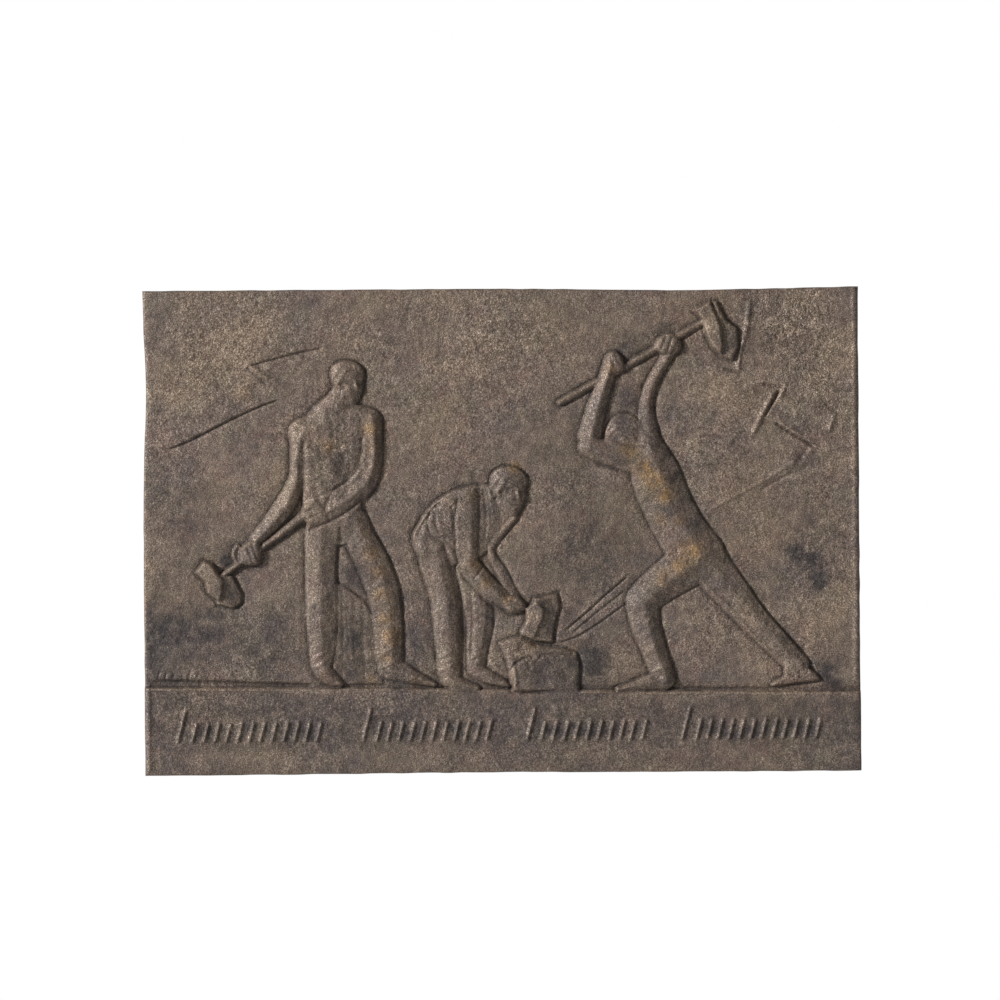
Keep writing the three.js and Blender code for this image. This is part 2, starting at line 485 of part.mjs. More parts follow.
function plaqueGeometry() {
  const size = cells + 1;
  let heights = sampleHeights();
  for (let pass = 0; pass < smoothings; pass++) heights = smoothed(heights);
  const triangles = frontTriangles(heights);
  const rim = rimOf(triangles);
  const positions = [];
  const index = [];
  const number = new Map();
  const share = (node) => [(2 * (node % size)) / cells - 1, (2 * Math.floor(node / size)) / cells - 1];

  for (const corners of triangles) {
    for (const node of corners) {
      if (!number.has(node)) {
        const [x, z] = bowed(...share(node), edgeChamfer);
        number.set(node, positions.length / 3);
        positions.push(x, -heights[node], z);
      }
      index.push(number.get(node));
    }
  }

  // Chamfer, side walls and flat back
  const shoulder = positions.length / 3;
  for (const node of rim) {
    const [x, z] = bowed(...share(node), 0);
    positions.push(x, -heights[node] + edgeChamfer, z);
  }
  const foot = positions.length / 3;
  for (const node of rim) {
    const [x, z] = bowed(...share(node), 0);
    positions.push(x, 0, z);
  }
  const centre = positions.length / 3;
  positions.push(0, 0, 0);
  rim.forEach((node, i) => {
    const j = (i + 1) % rim.length;
    const [a, b] = [number.get(node), number.get(rim[j])];
    index.push(a, shoulder + i, b, b, shoulder + i, shoulder + j);
    index.push(shoulder + i, foot + i, shoulder + j, shoulder + j, foot + i, foot + j);
    index.push(foot + i, centre, foot + j);
  });

  const geometry = new THREE.BufferGeometry();
  geometry.setAttribute('position', new THREE.Float32BufferAttribute(positions, 3));
  geometry.setIndex(index);
  geometry.computeVertexNormals();
  return geometry;
}

const bronze = new THREE.MeshStandardMaterial({ color: 0x695d54, roughness: 0.55, metalness: 0.6 });

const plaque = new THREE.Mesh(plaqueGeometry(), bronze);
plaque.name = 'plaque';

const group = new THREE.Group();
group.name = 'relief_plaque';
group.add(plaque);

export default group;
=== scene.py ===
import bpy
import bmesh
import math
import numpy as np
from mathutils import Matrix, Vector


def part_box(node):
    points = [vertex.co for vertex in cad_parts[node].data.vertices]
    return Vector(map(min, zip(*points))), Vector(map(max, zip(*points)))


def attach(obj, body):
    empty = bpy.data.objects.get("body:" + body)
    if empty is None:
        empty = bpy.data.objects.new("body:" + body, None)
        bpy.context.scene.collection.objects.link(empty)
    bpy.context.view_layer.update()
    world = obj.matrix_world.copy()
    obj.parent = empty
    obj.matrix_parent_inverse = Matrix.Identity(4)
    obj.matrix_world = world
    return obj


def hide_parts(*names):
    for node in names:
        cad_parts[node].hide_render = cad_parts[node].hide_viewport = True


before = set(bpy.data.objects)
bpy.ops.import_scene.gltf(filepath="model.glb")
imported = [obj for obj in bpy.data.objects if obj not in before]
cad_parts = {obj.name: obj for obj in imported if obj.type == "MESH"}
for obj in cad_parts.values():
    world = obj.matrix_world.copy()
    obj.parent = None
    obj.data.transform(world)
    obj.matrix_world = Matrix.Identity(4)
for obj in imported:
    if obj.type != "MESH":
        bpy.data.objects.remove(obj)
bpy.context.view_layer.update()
plaqueLow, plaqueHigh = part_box("plaque")
print("frame loaded", [round(v * 1000, 1) for v in (*plaqueLow, *plaqueHigh)])

mm = 0.001


# the relief is worked out in millimetres, x to the right and z up, with heights above the ground
def bell(value):
    return np.exp(-value * value)


def ease(value):
    t = np.clip(value, 0, 1)
    return t * t * (3 - 2 * t)


def blend(a, b, depth):
    # the higher of two surfaces, rounded where they meet
    h = np.maximum(depth - np.abs(a - b), 0) / depth
    return np.maximum(a, b) + h * h * depth / 4


def unevenness(x, z, size, seed):
    # smooth hills and dents about `size` across, between -1 and 1
    lattice = np.random.default_rng(seed).uniform(-1, 1, (64, 64))
    u, v = x / size + 31.7, z / size + 17.3
    i, j = np.floor(u).astype(int), np.floor(v).astype(int)
    a, b = ease(u - i), ease(v - j)
    i, j, k, l = i % 64, j % 64, (i + 1) % 64, (j + 1) % 64
    low = lattice[i, j] * (1 - a) + lattice[k, j] * a
    high = lattice[i, l] * (1 - a) + lattice[k, l] * a
    return low * (1 - b) + high * b


def centreLine(stations, steps=6, closed=False):
    # a smooth curve through [x, z, radius] stations or [x, z] corners
    points = np.array([tuple(s) for s in stations], float)
    if len(points) == 1:
        return np.vstack([points, points + [0.01, 0, 0]])
    if closed:
        ends = np.vstack([points[-1:], points, points[:2]])
    else:
        ends = np.vstack([2 * points[0] - points[1], points, 2 * points[-1] - points[-2]])
    t = np.linspace(0, 1, steps, endpoint=False)[:, None]
    curve = []
    for a, b, c, d in zip(ends, ends[1:], ends[2:], ends[3:]):
        curve.append(0.5 * (2 * b + (c - a) * t + (2 * a - 5 * b + 4 * c - d) * t ** 2
                            + (3 * b - a - 3 * c + d) * t ** 3))
    return np.vstack(curve if closed else [*curve, points[-1:]])


def nearestOn(line, x, z):
    # share of the radius, distance beyond the radius, side of the line, and share of its length
    share = np.full(x.shape, 1e9)
    beyond = np.full(x.shape, 1e9)
    side = np.zeros(x.shape)
    along = np.zeros(x.shape)
    for n, (a, b) in enumerate(zip(line, line[1:])):
        dx, dz = b[0] - a[0], b[1] - a[1]
        length2 = dx * dx + dz * dz + 1e-12
        t = np.clip(((x - a[0]) * dx + (z - a[1]) * dz) / length2, 0, 1)
        ex, ez = x - a[0] - t * dx, z - a[1] - t * dz
        distance = np.hypot(ex, ez)
        radius = a[2] + t * (b[2] - a[2])
        nearer = distance / radius
        closer = nearer < share
        share = np.where(closer, nearer, share)
        side = np.where(closer, (dx * ez - dz * ex) / math.sqrt(length2) / radius, side)
        along = np.where(closer, (n + t) / (len(line) - 1), along)
        beyond = np.minimum(beyond, distance - radius)
    return share, beyond, side, along


def outlineDistance(corners, x, z):
    # signed distance to a polygon, negative inside
    best = np.full(x.shape, 1e9)
    inside = np.zeros(x.shape, bool)
    for (ax, az), (bx, bz) in zip([corners[-1], *corners], corners):
        dx, dz = bx - ax, bz - az
        t = np.clip(((x - ax) * dx + (z - az) * dz) / (dx * dx + dz * dz), 0, 1)
        best = np.minimum(best, np.hypot(x - ax - t * dx, z - az - t * dz))
        if az != bz:
            inside ^= ((az > z) != (bz > z)) & (x < dx * (z - az) / dz + ax)
    return np.where(inside, -best, best)


def limb(stations, crown, edge=0.6, join=1.2, crease=0.0, power=1.3, crest=0.18, fade=0.0):
    # a rounded limb whose crest lies off its axis; `fade` sinks the edge on that side into the ground
    line = centreLine(stations)

    def form(x, z):
        share, beyond, side, _ = nearestOn(line, x, z)
        across = (side - crest) / np.where(side > crest, 1 - crest, 1 + crest)
        past = np.sqrt(np.clip(share * share - side * side, 0, None))
        rise = 1 - np.power(np.clip(np.hypot(across, past), 0, 1), power)
        foot = edge * (1 - fade * ease(side))
        return foot + (crown - foot) * rise, beyond
    return {"points": stations, "form": form, "join": join, "crease": crease}


def slab(corners, crown, edge=0.6, join=1.2, crease=0.0, soft=2.0, tilt=(0, 0), curved=False):
    # a plate with a rounded rim, level or tilted about its middle
    middle = (np.min(corners, 0) + np.max(corners, 0)) / 2
    outline = [tuple(p) for p in centreLine(corners, 5, closed=True)] if curved else corners

    def form(x, z):
        gap = outlineDistance(outline, x, z)
        top = crown - edge + tilt[0] * (x - middle[0]) + tilt[1] * (z - middle[1])
        return edge + top * (1 - np.power(1 - np.clip(-gap / soft, 0, 1), 2.2)), gap
    return {"points": outline, "form": form, "join": join, "crease": crease}


def swelling(stations, rise):
    # a soft hill or furrow added to the forms before it
    line = centreLine(stations)
    return {"points": stations, "added": lambda x, z: rise * bell(nearestOn(line, x, z)[0] * 1.2)}


def layer(corners, rise, soft=0.7):
    # a thin even layer, such as hair or cloth, laid over the forms before it
    outline = [tuple(p) for p in centreLine(corners, 4, closed=True)]
    return {"points": outline,
            "added": lambda x, z: rise * ease(0.5 - outlineDistance(outline, x, z) / soft)}


def within(points, reach, x, z):
    # the vertices near a form
    reach = reach + max([p[2] for p in points if len(p) > 2], default=0)
    low, high = np.min([p[:2] for p in points], 0), np.max([p[:2] for p in points], 0)
    return np.nonzero((x > low[0] - reach) & (x < high[0] + reach)
                      & (z > low[1] - reach) & (z < high[1] + reach))[0]


# what stands for no height and for far away, and how far around its stations a form is worked out
farOff = {"height": -99.0, "bare": -50, "gap": 99.0, "figureReach": 12, "lineReach": 5, "strokeReach": 3.5}


def groupHeights(forms, x, z):
    # height of a group of forms where it covers the ground, and the distance outside it
    top = np.full(x.shape, farOff["height"])
    gap = np.full(x.shape, farOff["gap"])
    for item in forms:
        near = within(item["points"], farOff["figureReach"], x, z)
        if "added" in item:
            top[near] += item["added"](x[near], z[near])
            continue
        height, beyond = item["form"](x[near], z[near])
        under = top[near] - item["crease"] * bell(np.maximum(beyond, 0) / 0.6)
        joined = np.where(under > farOff["bare"], blend(under, height, item["join"]), height)
        top[near] = np.where(beyond < 0, joined, under)
        gap[near] = np.minimum(gap[near], beyond)
    return top, gap


def scored(stations, rise, burr=0.0):
    # an incised (negative) or raised line that fades at its ends, with an optional burr along its left
    curve = centreLine(stations, 8)

    def form(x, z):
        share, _, side, along = nearestOn(curve, x, z)
        fade = ease(along / 0.1 + 0.4) * ease((1 - along) / 0.1 + 0.4)
        return fade * (rise * bell(share) + burr * bell((side - 1.6) / 0.8) * bell(share / 3))
    return {"points": stations, "form": form}


def head(at, size, lean, crown, depth=1.0):
    # a head turned half aside by the usual rules: eyes at the half, nose and ear in the third below
    turn = math.radians(lean)

    def place(points):
        moved = []
        for u, v, *radius in points:
            u, v = u * size, (v - 0.5) * size
            moved.append((at[0] + u * math.cos(turn) + v * math.sin(turn),
                          at[1] + v * math.cos(turn) - u * math.sin(turn), *[r * size for r in radius]))
        return moved

    outline = [(0.0, 1.0), (0.2, 0.96), (0.33, 0.85), (0.375, 0.7), (0.35, 0.56), (0.365, 0.45),
               (0.335, 0.29), (0.27, 0.11), (0.19, 0.01), (0.08, 0.0), (-0.06, 0.08), (-0.18, 0.2),
               (-0.26, 0.36), (-0.36, 0.52), (-0.39, 0.7), (-0.34, 0.86), (-0.19, 0.97)]
    hair = [(0.0, 1.05), (0.24, 1.01), (0.4, 0.88), (0.3, 0.845), (0.12, 0.83), (-0.02, 0.75),
            (-0.08, 0.62), (-0.11, 0.48), (-0.19, 0.47), (-0.25, 0.36), (-0.33, 0.32), (-0.42, 0.5),
            (-0.46, 0.7), (-0.4, 0.9), (-0.22, 1.03)]
    return {
        "skull": slab(place(outline), crown, edge=0.9, join=0.5, crease=0.25, soft=0.36 * size, curved=True),
        "socketA": swelling(place([(0.02, 0.51, 0.055), (0.1, 0.505, 0.05)]), -0.85 * depth),
        "socketB": swelling(place([(0.26, 0.505, 0.05), (0.31, 0.51, 0.045)]), -0.78 * depth),
        "browA": swelling(place([(-0.01, 0.585, 0.03), (0.08, 0.605, 0.03), (0.15, 0.57, 0.03)]),
                          0.46 * depth),
        "browB": swelling(place([(0.22, 0.575, 0.03), (0.3, 0.595, 0.03)]), 0.39 * depth),
        "eyeA": swelling(place([(0.035, 0.51, 0.026), (0.09, 0.51, 0.026)]), 0.5 * depth),
        "eyeB": swelling(place([(0.265, 0.51, 0.026), (0.3, 0.51, 0.024)]), 0.43 * depth),
        "nose": swelling(place([(0.185, 0.55, 0.03), (0.21, 0.44, 0.038), (0.235, 0.355, 0.05)]),
                         0.93 * depth),
        "noseFoot": swelling(place([(0.15, 0.325, 0.025), (0.255, 0.32, 0.025)]), -0.46 * depth),
        "cheek": swelling(place([(0.06, 0.38, 0.08)]), 0.39 * depth),
        "mouth": swelling(place([(0.09, 0.222, 0.02), (0.18, 0.228, 0.02), (0.255, 0.222, 0.02)]),
                          -0.62 * depth),
        "lip": swelling(place([(0.13, 0.185, 0.024), (0.23, 0.185, 0.024)]), 0.34 * depth),
        "chin": swelling(place([(0.15, 0.07, 0.07)]), 0.46 * depth),
        "hair": layer(place(hair), 0.55 * depth),
        "ear": swelling(place([(-0.17, 0.53, 0.035), (-0.21, 0.47, 0.04), (-0.17, 0.38, 0.035)]),
                        0.98 * depth),
        "earHollow": swelling(place([(-0.155, 0.47, 0.022)]), -0.49 * depth),
        "lockA": swelling(place([(0.22, 0.9, 0.024), (0.04, 0.92, 0.028), (-0.12, 0.86, 0.024)]),
                          -0.35 * depth),
        "lockB": swelling(place([(0.08, 0.86, 0.024), (-0.12, 0.8, 0.028), (-0.22, 0.66, 0.024)]),
                          -0.35 * depth),
        "lockC": swelling(place([(-0.1, 0.94, 0.024), (-0.28, 0.84, 0.028), (-0.34, 0.66, 0.024)]),
                          -0.35 * depth),
        "lockD": swelling(place([(-0.16, 0.7, 0.022), (-0.28, 0.56, 0.026), (-0.31, 0.44, 0.02)]),
                          -0.35 * depth),
    }


standingSmith = {
    "coat": slab([(-57, -16), (-51.4, -19), (-46.4, -22.8), (-43, -28), (-40, -34), (-40, -51), (-57, -51)],
                 0.24, edge=0.1, soft=0.5),
    "coatFoldA": swelling([(-53.6, -20, 0.5), (-53.2, -36, 0.6), (-53.8, -49, 0.5)], -0.22),
    "coatFoldB": swelling([(-50.6, -22, 0.5), (-50.6, -34, 0.6), (-49.8, -49, 0.5)], 0.2),
    "coatFoldC": swelling([(-46.8, -25, 0.5), (-46.6, -38, 0.6), (-46, -49, 0.5)], -0.22),
    "trunk": slab([(-57.4, 46), (-61, 41.6), (-65.6, 38.9), (-69.8, 36.8), (-71, 33), (-69.5, 26), (-67, 14),
                   (-65.8, 4), (-60, 0), (-51, 0), (-46.8, 5), (-46.6, 10.6), (-43, 17), (-41, 32),
                   (-40.6, 39), (-43, 41.3), (-47.5, 42.8)], 2.9, edge=0.7, soft=4.4, curved=True),
    "neck": limb([(-51.6, 47, 4.4), (-54.4, 42.6, 5), (-58, 37, 7)], 3.2, edge=0.7, join=2.2, crest=0),
    **{"head" + k: v for k, v in head((-51.3, 49.9), 15.2, 4, 3.4).items()},
    "hips": limb([(-59, 4, 6.4), (-54, 1.6, 6), (-50.6, 4, 4.8)], 2.2, join=1.4, crest=0),
    "leftLeg": limb([(-59.8, 4, 5.8), (-60.5, -5, 5.3), (-60.6, -25, 5.1), (-60.4, -36, 4.6),
                     (-60.6, -44.5, 3.6)], 2.7, join=1.2, crest=0.0),
    "leftBoot": limb([(-60.2, -46.4, 3.1), (-58, -48.6, 2.8), (-54.4, -50.7, 1.4)], 2.6, join=0.4,
                     crease=0.3, crest=0),
    "rightLeg": limb([(-49.4, 4, 4.6), (-47.2, -2.5, 5.2), (-43.4, -10, 5.5), (-39.8, -20, 5.4),
                      (-38.2, -30, 4.8), (-37.7, -38, 4.5), (-37.4, -44, 4.3)], 3.0, join=1.2, crest=0.16,
                     fade=0.3),
    "rightBoot": limb([(-37.4, -45.6, 4.1), (-32.5, -47.6, 3.1), (-27.5, -49.6, 2), (-23, -51.2, 1.1)], 2.6,
                      join=0.5, crease=0.25, crest=0),
    "leftArm": limb([(-66.4, 34.4, 4.1), (-68.2, 28, 2.5), (-68.5, 20, 2.3), (-69.8, 14.4, 3.1),
                     (-73, 8.4, 3.4), (-77.4, 2.8, 2.9), (-82.2, -2.2, 2.3)], 3.0, join=1.7, crest=0.1),
    "handle": limb([(-63, 8.2, 1.9), (-70, 2.6, 1.6), (-79, -4, 1.2), (-95, -15.2, 1.1)], 2.5, edge=0.8,
                   join=0.2, crease=0.3, crest=0.2),
    "cuff": limb([(-88.4, -5, 1.3), (-89, -7.2, 1.5), (-88.4, -9.6, 1.3)], 1.2, edge=0.7, join=0.3, crest=0),
    "cuffHollow": swelling([(-88.5, -5.8, 0.8), (-88.9, -7.4, 0.9), (-88.5, -9, 0.8)], -1.0),
    "leftHand": slab([(-87.6, -5.2), (-84.6, -2.6), (-81.4, -2.9), (-80.2, -6.2), (-81, -10.2),
                      (-84.4, -11.3), (-87.6, -9.8)], 3.9, edge=1.3, join=0.4, crease=0.35, soft=2.6,
                     curved=True),
    "knuckles": swelling([(-87.1, -5.6, 0.7), (-84.6, -3.5, 0.7), (-82, -3.4, 0.7)], 0.5),
    "fingerA": swelling([(-86.8, -6.6, 0.42), (-84.9, -10.7, 0.42)], -0.55),
    "fingerB": swelling([(-85.1, -5.2, 0.42), (-83.1, -10.6, 0.42)], -0.55),
    "fingerC": swelling([(-83.3, -4.2, 0.42), (-81.5, -9.6, 0.42)], -0.5),
    "hammerSide": slab([(-95.4, -13.6), (-90.2, -14.2), (-87, -20.4), (-87.3, -23.6), (-90, -25.5),
                        (-95.6, -24.2), (-96, -19)], 2.0, edge=0.6, soft=0.9, tilt=(-0.2, 0)),
    "hammerFace": slab([(-103, -13.2), (-99.8, -9.2), (-96.6, -10.2), (-95, -13), (-92.8, -15.8),
                        (-93.4, -22), (-94.8, -23.4), (-98.8, -20.2), (-99.6, -16.6), (-101.4, -14.8)], 3.5,
                       edge=1.1, soft=1.2, join=0.3, tilt=(0.16, 0.04)),
    "hammerEdge": swelling([(-98.2, -10.6, 0.7), (-95.8, -14.6, 0.7), (-94.6, -17.6, 0.7)], 0.4),
    "hammerDent": swelling([(-97.8, -20.2, 1.2), (-96.4, -21.6, 1.1)], -0.5),
    "rightArm": limb([(-43.4, 37.6, 3.7), (-42.9, 30, 3.1), (-43.1, 23.5, 3.2), (-45.2, 17.6, 3.9),
                      (-49.6, 12.8, 4.0), (-55, 9.2, 3.8), (-60.4, 6.2, 3.5)], 3.9, edge=1.0, join=0.9,
                     crest=0.15, fade=0.3),
    "rightHand": slab([(-66.6, 9), (-63, 11.8), (-59.6, 10.4), (-58, 6), (-60, 2.6), (-64, 2.2),
                       (-66.8, 4.6)], 3.6, edge=0.8, join=0.8, soft=2.6, curved=True),
    "forearmLine": swelling([(-46, 11.6, 0.5), (-51.4, 7, 0.65), (-57, 3.8, 0.7), (-64, 1, 0.6)], -1.1),
    "forearmTop": swelling([(-47, 22, 0.5), (-51, 17.4, 0.6), (-56.4, 14, 0.6), (-61, 12, 0.5)], -0.5),
    "wristFold": swelling([(-57.2, 12.4, 0.6), (-58.8, 8.4, 0.7), (-57.6, 4.4, 0.6)], -0.4),
    "sleeveFoldA": swelling([(-52.6, 14, 0.6), (-55.4, 10.6, 0.6)], 0.35),
    "sleeveFoldB": swelling([(-45.8, 20.6, 0.6), (-42.6, 17.4, 0.7)], -0.3),
    "sleeveFoldC": swelling([(-45.6, 28.6, 0.6), (-41.6, 26.4, 0.7)], -0.25),
    "thumb": swelling([(-65.6, 8.6, 0.8), (-62.4, 10.6, 0.8)], 0.5),
    "palmA": swelling([(-66.2, 6.4, 0.45), (-62.4, 8.2, 0.45)], -0.5),
    "palmB": swelling([(-65.6, 4.2, 0.45), (-61.6, 5.8, 0.45)], -0.5),
    "chest": swelling([(-64, 34, 4), (-58.5, 32.5, 5)], 0.7),
    "breast": swelling([(-52, 34, 4.2), (-49.5, 34.6, 4)], 0.4),
    "breastFold": swelling([(-63, 28.6, 1.2), (-57, 27.4, 1.4), (-52, 29.2, 1.2)], -0.45),
    "collar": swelling([(-58, 40.6, 0.8), (-53.4, 40, 1.0), (-49.6, 42.4, 0.8)], -0.3),
    "belly": swelling([(-56, 22, 3.2), (-57, 13, 3.6)], 0.3),
    "shirtFoldA": swelling([(-61.5, 20, 0.9), (-60, 14, 1.0)], 0.25),
    "shirtFoldB": swelling([(-52.4, 24, 0.9), (-54, 18, 1.0)], -0.3),
    "leftSide": swelling([(-66.2, 30, 0.7), (-65.9, 22, 1.1), (-66.4, 14, 1.2), (-68.6, 8.8, 0.9)], -0.85),
    "rightSide": swelling([(-46.6, 31, 0.7), (-47, 24.4, 1.0), (-51, 18.2, 1.0), (-56, 14.2, 0.8)], -0.7),
    "ribsA": swelling([(-60.6, 25.6, 0.9), (-56.4, 24, 0.9), (-52.4, 25.4, 0.8)], -0.35),
    "ribsB": swelling([(-61.4, 21.8, 0.8), (-57, 20.4, 0.9), (-53.4, 21.6, 0.8)], 0.3),
    "sternum": swelling([(-56.4, 37, 0.7), (-56.2, 30, 0.8), (-56.6, 25, 0.7)], -0.3),
    "shoulderFold": swelling([(-47.6, 39, 0.7), (-45.6, 34.6, 0.8), (-46.2, 31, 0.7)], -0.35),
    "apron": swelling([(-46.8, 9.6, 0.7), (-51.6, 4.4, 0.8)], 0.45),
    "fork": swelling([(-54, 1, 0.9), (-53.8, -3, 1.3)], -1.1),
    "kneeFoldA": swelling([(-64, -24.4, 0.7), (-59.6, -22.6, 0.8)], 0.25),
    "hemFoldA": swelling([(-63, -42.6, 0.6), (-59.4, -40.2, 0.7)], 0.3),
    "hemFoldB": swelling([(-62.6, -45.4, 0.55), (-58.4, -42.4, 0.6)], 0.35),
    "kneeFoldB": swelling([(-44.2, -19, 0.8), (-38.6, -16.6, 0.9)], 0.28),
    "kneeFoldC": swelling([(-42.4, -24.6, 0.7), (-37, -21.4, 0.9)], 0.24),
    "hemFoldC": swelling([(-41.2, -42.2, 0.7), (-36.6, -38.6, 0.8)], 0.35),
    "hemFoldD": swelling([(-40.6, -45.8, 0.6), (-34.6, -42.4, 0.7)], 0.4),
    "pitA": swelling([(-62.2, -17.9, 0.5)], -0.7),
    "pitB": swelling([(-61, -17.9, 0.45)], -0.7),
}

bendingSmith = {
    "farArm": limb([(4.8, 4.6, 0.9), (0.8, 0, 1.1), (-3.4, -5.6, 1.2), (-2.6, -9.4, 1.5), (-0.2, -13.6, 1.9),
                    (2.2, -18.4, 1.8), (5, -22.6, 1.5)], 1.3, edge=0.5, crest=-0.1),
    "farLeg": limb([(-11, -13, 4.6), (-8.4, -22, 5), (-7.4, -31, 4.4), (-8.4, -39, 3.5), (-8.8, -46, 3)],
                   1.9, edge=0.4, crest=0.1, fade=0.5),
    "farBoot": limb([(-8, -47.4, 2.6), (-3.6, -49.4, 2.2), (1.8, -51.6, 1.1)], 1.9, join=0.5, crease=0.2,
                    crest=0),
    "breast": slab([(-10, 13), (-8.4, 15.2), (-4.6, 15.6), (-1, 14), (3.4, 8), (4.8, 4.2), (0, -0.8),
                    (-3.8, -5.4), (-6, -8), (-9.6, -8), (-9.6, 4)], 0.8, edge=0.25, soft=2.4, curved=True),
    "breastFoldA": swelling([(-5.9, 14, 0.5), (-5.2, 8, 0.6), (-5, 2, 0.6), (-5.6, -3, 0.5)], -0.4),
    "breastFoldB": swelling([(-4, 13.6, 0.45), (-3, 8, 0.5), (-2.4, 3, 0.45)], 0.3),
    "breastFoldC": swelling([(-2, 11, 0.45), (-0.6, 7, 0.5), (0, 3.4, 0.45)], -0.3),
    "trunk": slab([(-7.6, 15), (-11, 15.2), (-15, 14.2), (-20.4, 11.4), (-25, 7.2), (-28.4, 1.8), (-30, -2),
                   (-28, -8), (-20, -12), (-14, -11), (-9, -9), (-8, -2), (-7.8, 6)], 2.5, edge=0.6,
                  soft=3.6, curved=True),
    "nearLeg": limb([(-22.6, -2, 6.6), (-21.6, -11, 5.8), (-19.4, -20, 5.2), (-18.3, -30, 4.8),
                     (-17.9, -40, 4.4), (-17.8, -47, 3.9)], 3.1, join=1.4, crest=0.1),
    "nearBoot": limb([(-18, -49.6, 2.9), (-13.6, -51.4, 2.1), (-8.6, -52.6, 1.2)], 2.4, join=0.6, crease=0.2,
                     crest=0),
    "upperArm": limb([(-11.4, 11, 3.8), (-11.4, 4, 3.7), (-11.6, -3, 3.5), (-11.4, -9.6, 3.3)], 3.2,
                     edge=1.2, join=1.5, crest=0.34),
    "forearm": limb([(-11.2, -11, 3.6), (-6.6, -16.6, 3.6), (-1.6, -21.2, 3.2), (2.2, -24.4, 2.6)], 3.5,
                    edge=0.8, join=1.2, crease=0.1, crest=0.05),
    "sleeve": swelling([(-14.6, 10.6, 0.6), (-15.6, 4, 0.7), (-15.3, -3, 0.7), (-15.4, -7, 0.6),
                        (-13.8, -13, 0.6)], -0.8),
    "forearmLine": swelling([(-13.4, -14.6, 0.55), (-9.4, -19.2, 0.6), (-4.6, -24, 0.6), (1.4, -28.4, 0.5)],
                            -0.9),
    "nearHand": slab([(1.4, -22), (4.4, -21.4), (7.6, -23.6), (8.4, -26), (6.4, -27.4), (3, -28),
                      (0.8, -26)], 3.7, edge=0.9, join=0.9, soft=2.2, curved=True),
    "fingerA": swelling([(3.4, -23.4, 0.45), (7.2, -25.2, 0.4)], -0.5),
    "fingerB": swelling([(2.4, -25, 0.45), (6.6, -26.8, 0.4)], -0.5),
    **{"head" + k: v for k, v in head((2.4, 13.4), 16.6, 5, 3.4, depth=1.15).items()},
    "backSeam": swelling([(-28.2, -1.4, 0.5), (-24.4, 5.2, 0.55), (-19.8, 10.4, 0.55), (-13.4, 13.2, 0.5)],
                         -0.45),
    "shirtTail": swelling([(-24.8, 6, 0.7), (-29, 0.2, 0.7), (-29.6, -2.6, 0.6)], 0.6),
    "shirtFoldA": swelling([(-16.4, 8.2, 0.45), (-20.2, 9.2, 0.5), (-23.6, 6.8, 0.6), (-24.7, 2.2, 0.6),
                            (-22.8, -1.4, 0.6), (-18.8, -2.4, 0.5)], -0.6),
    "shirtFoldB": swelling([(-21.9, 8.6, 0.6), (-22.3, 4, 0.7), (-21.2, 0.4, 0.5)], -0.5),
    "shirtFoldC": swelling([(-16.6, 8.4, 0.6), (-16, 2, 0.7), (-16.6, -3, 0.5)], -0.35),
    "shirtFoldD": swelling([(-20, 11, 0.8), (-15.4, 9.4, 0.9), (-13, 5, 0.8)], 0.35),
    "hip": swelling([(-26.8, -3, 1.6), (-26, -8, 1.6)], 0.5),
    "waist": swelling([(-24.5, -1.8, 0.8), (-19.4, -3.4, 1.0), (-15.4, -6.6, 0.8)], -0.55),
    "fork": swelling([(-19.2, -5, 0.9), (-16.4, -13, 1.3), (-14.4, -21, 1.4), (-13.6, -32, 1.2),
                      (-13.9, -44, 1.0)], -0.9),
    "seatFoldA": swelling([(-27, -12, 0.7), (-22, -16.4, 0.8)], 0.35),
    "seatFoldB": swelling([(-25.4, -16, 0.7), (-20.6, -21, 0.8)], 0.3),
    "kneeFold": swelling([(-22.6, -27, 0.7), (-18, -24.6, 0.8)], 0.28),
    "hemFoldA": swelling([(-21, -42.4, 0.6), (-16.2, -39.8, 0.7)], 0.3),
    "hemFoldB": swelling([(-20.6, -46.6, 0.6), (-15.4, -44, 0.7)], 0.3),
    "farLegFoldA": swelling([(-10.2, -20, 0.6), (-9.8, -30, 0.7), (-10.6, -41, 0.6)], -0.4),
    "farLegFoldB": swelling([(-6.2, -18, 0.6), (-5.6, -28, 0.7), (-7, -39, 0.6)], 0.3),
    "farKneeFold": swelling([(-10.6, -30, 0.6), (-6.8, -27.4, 0.7)], 0.25),
    "farHemFold": swelling([(-10, -42.6, 0.6), (-5.4, -40, 0.7)], 0.25),
    "elbow": swelling([(-14, -11.6, 0.8), (-10.6, -13.4, 0.9)], 0.4),
    "cuff": swelling([(-9.2, -15.8, 0.5), (-6.4, -12.4, 0.5)], -0.5),
}

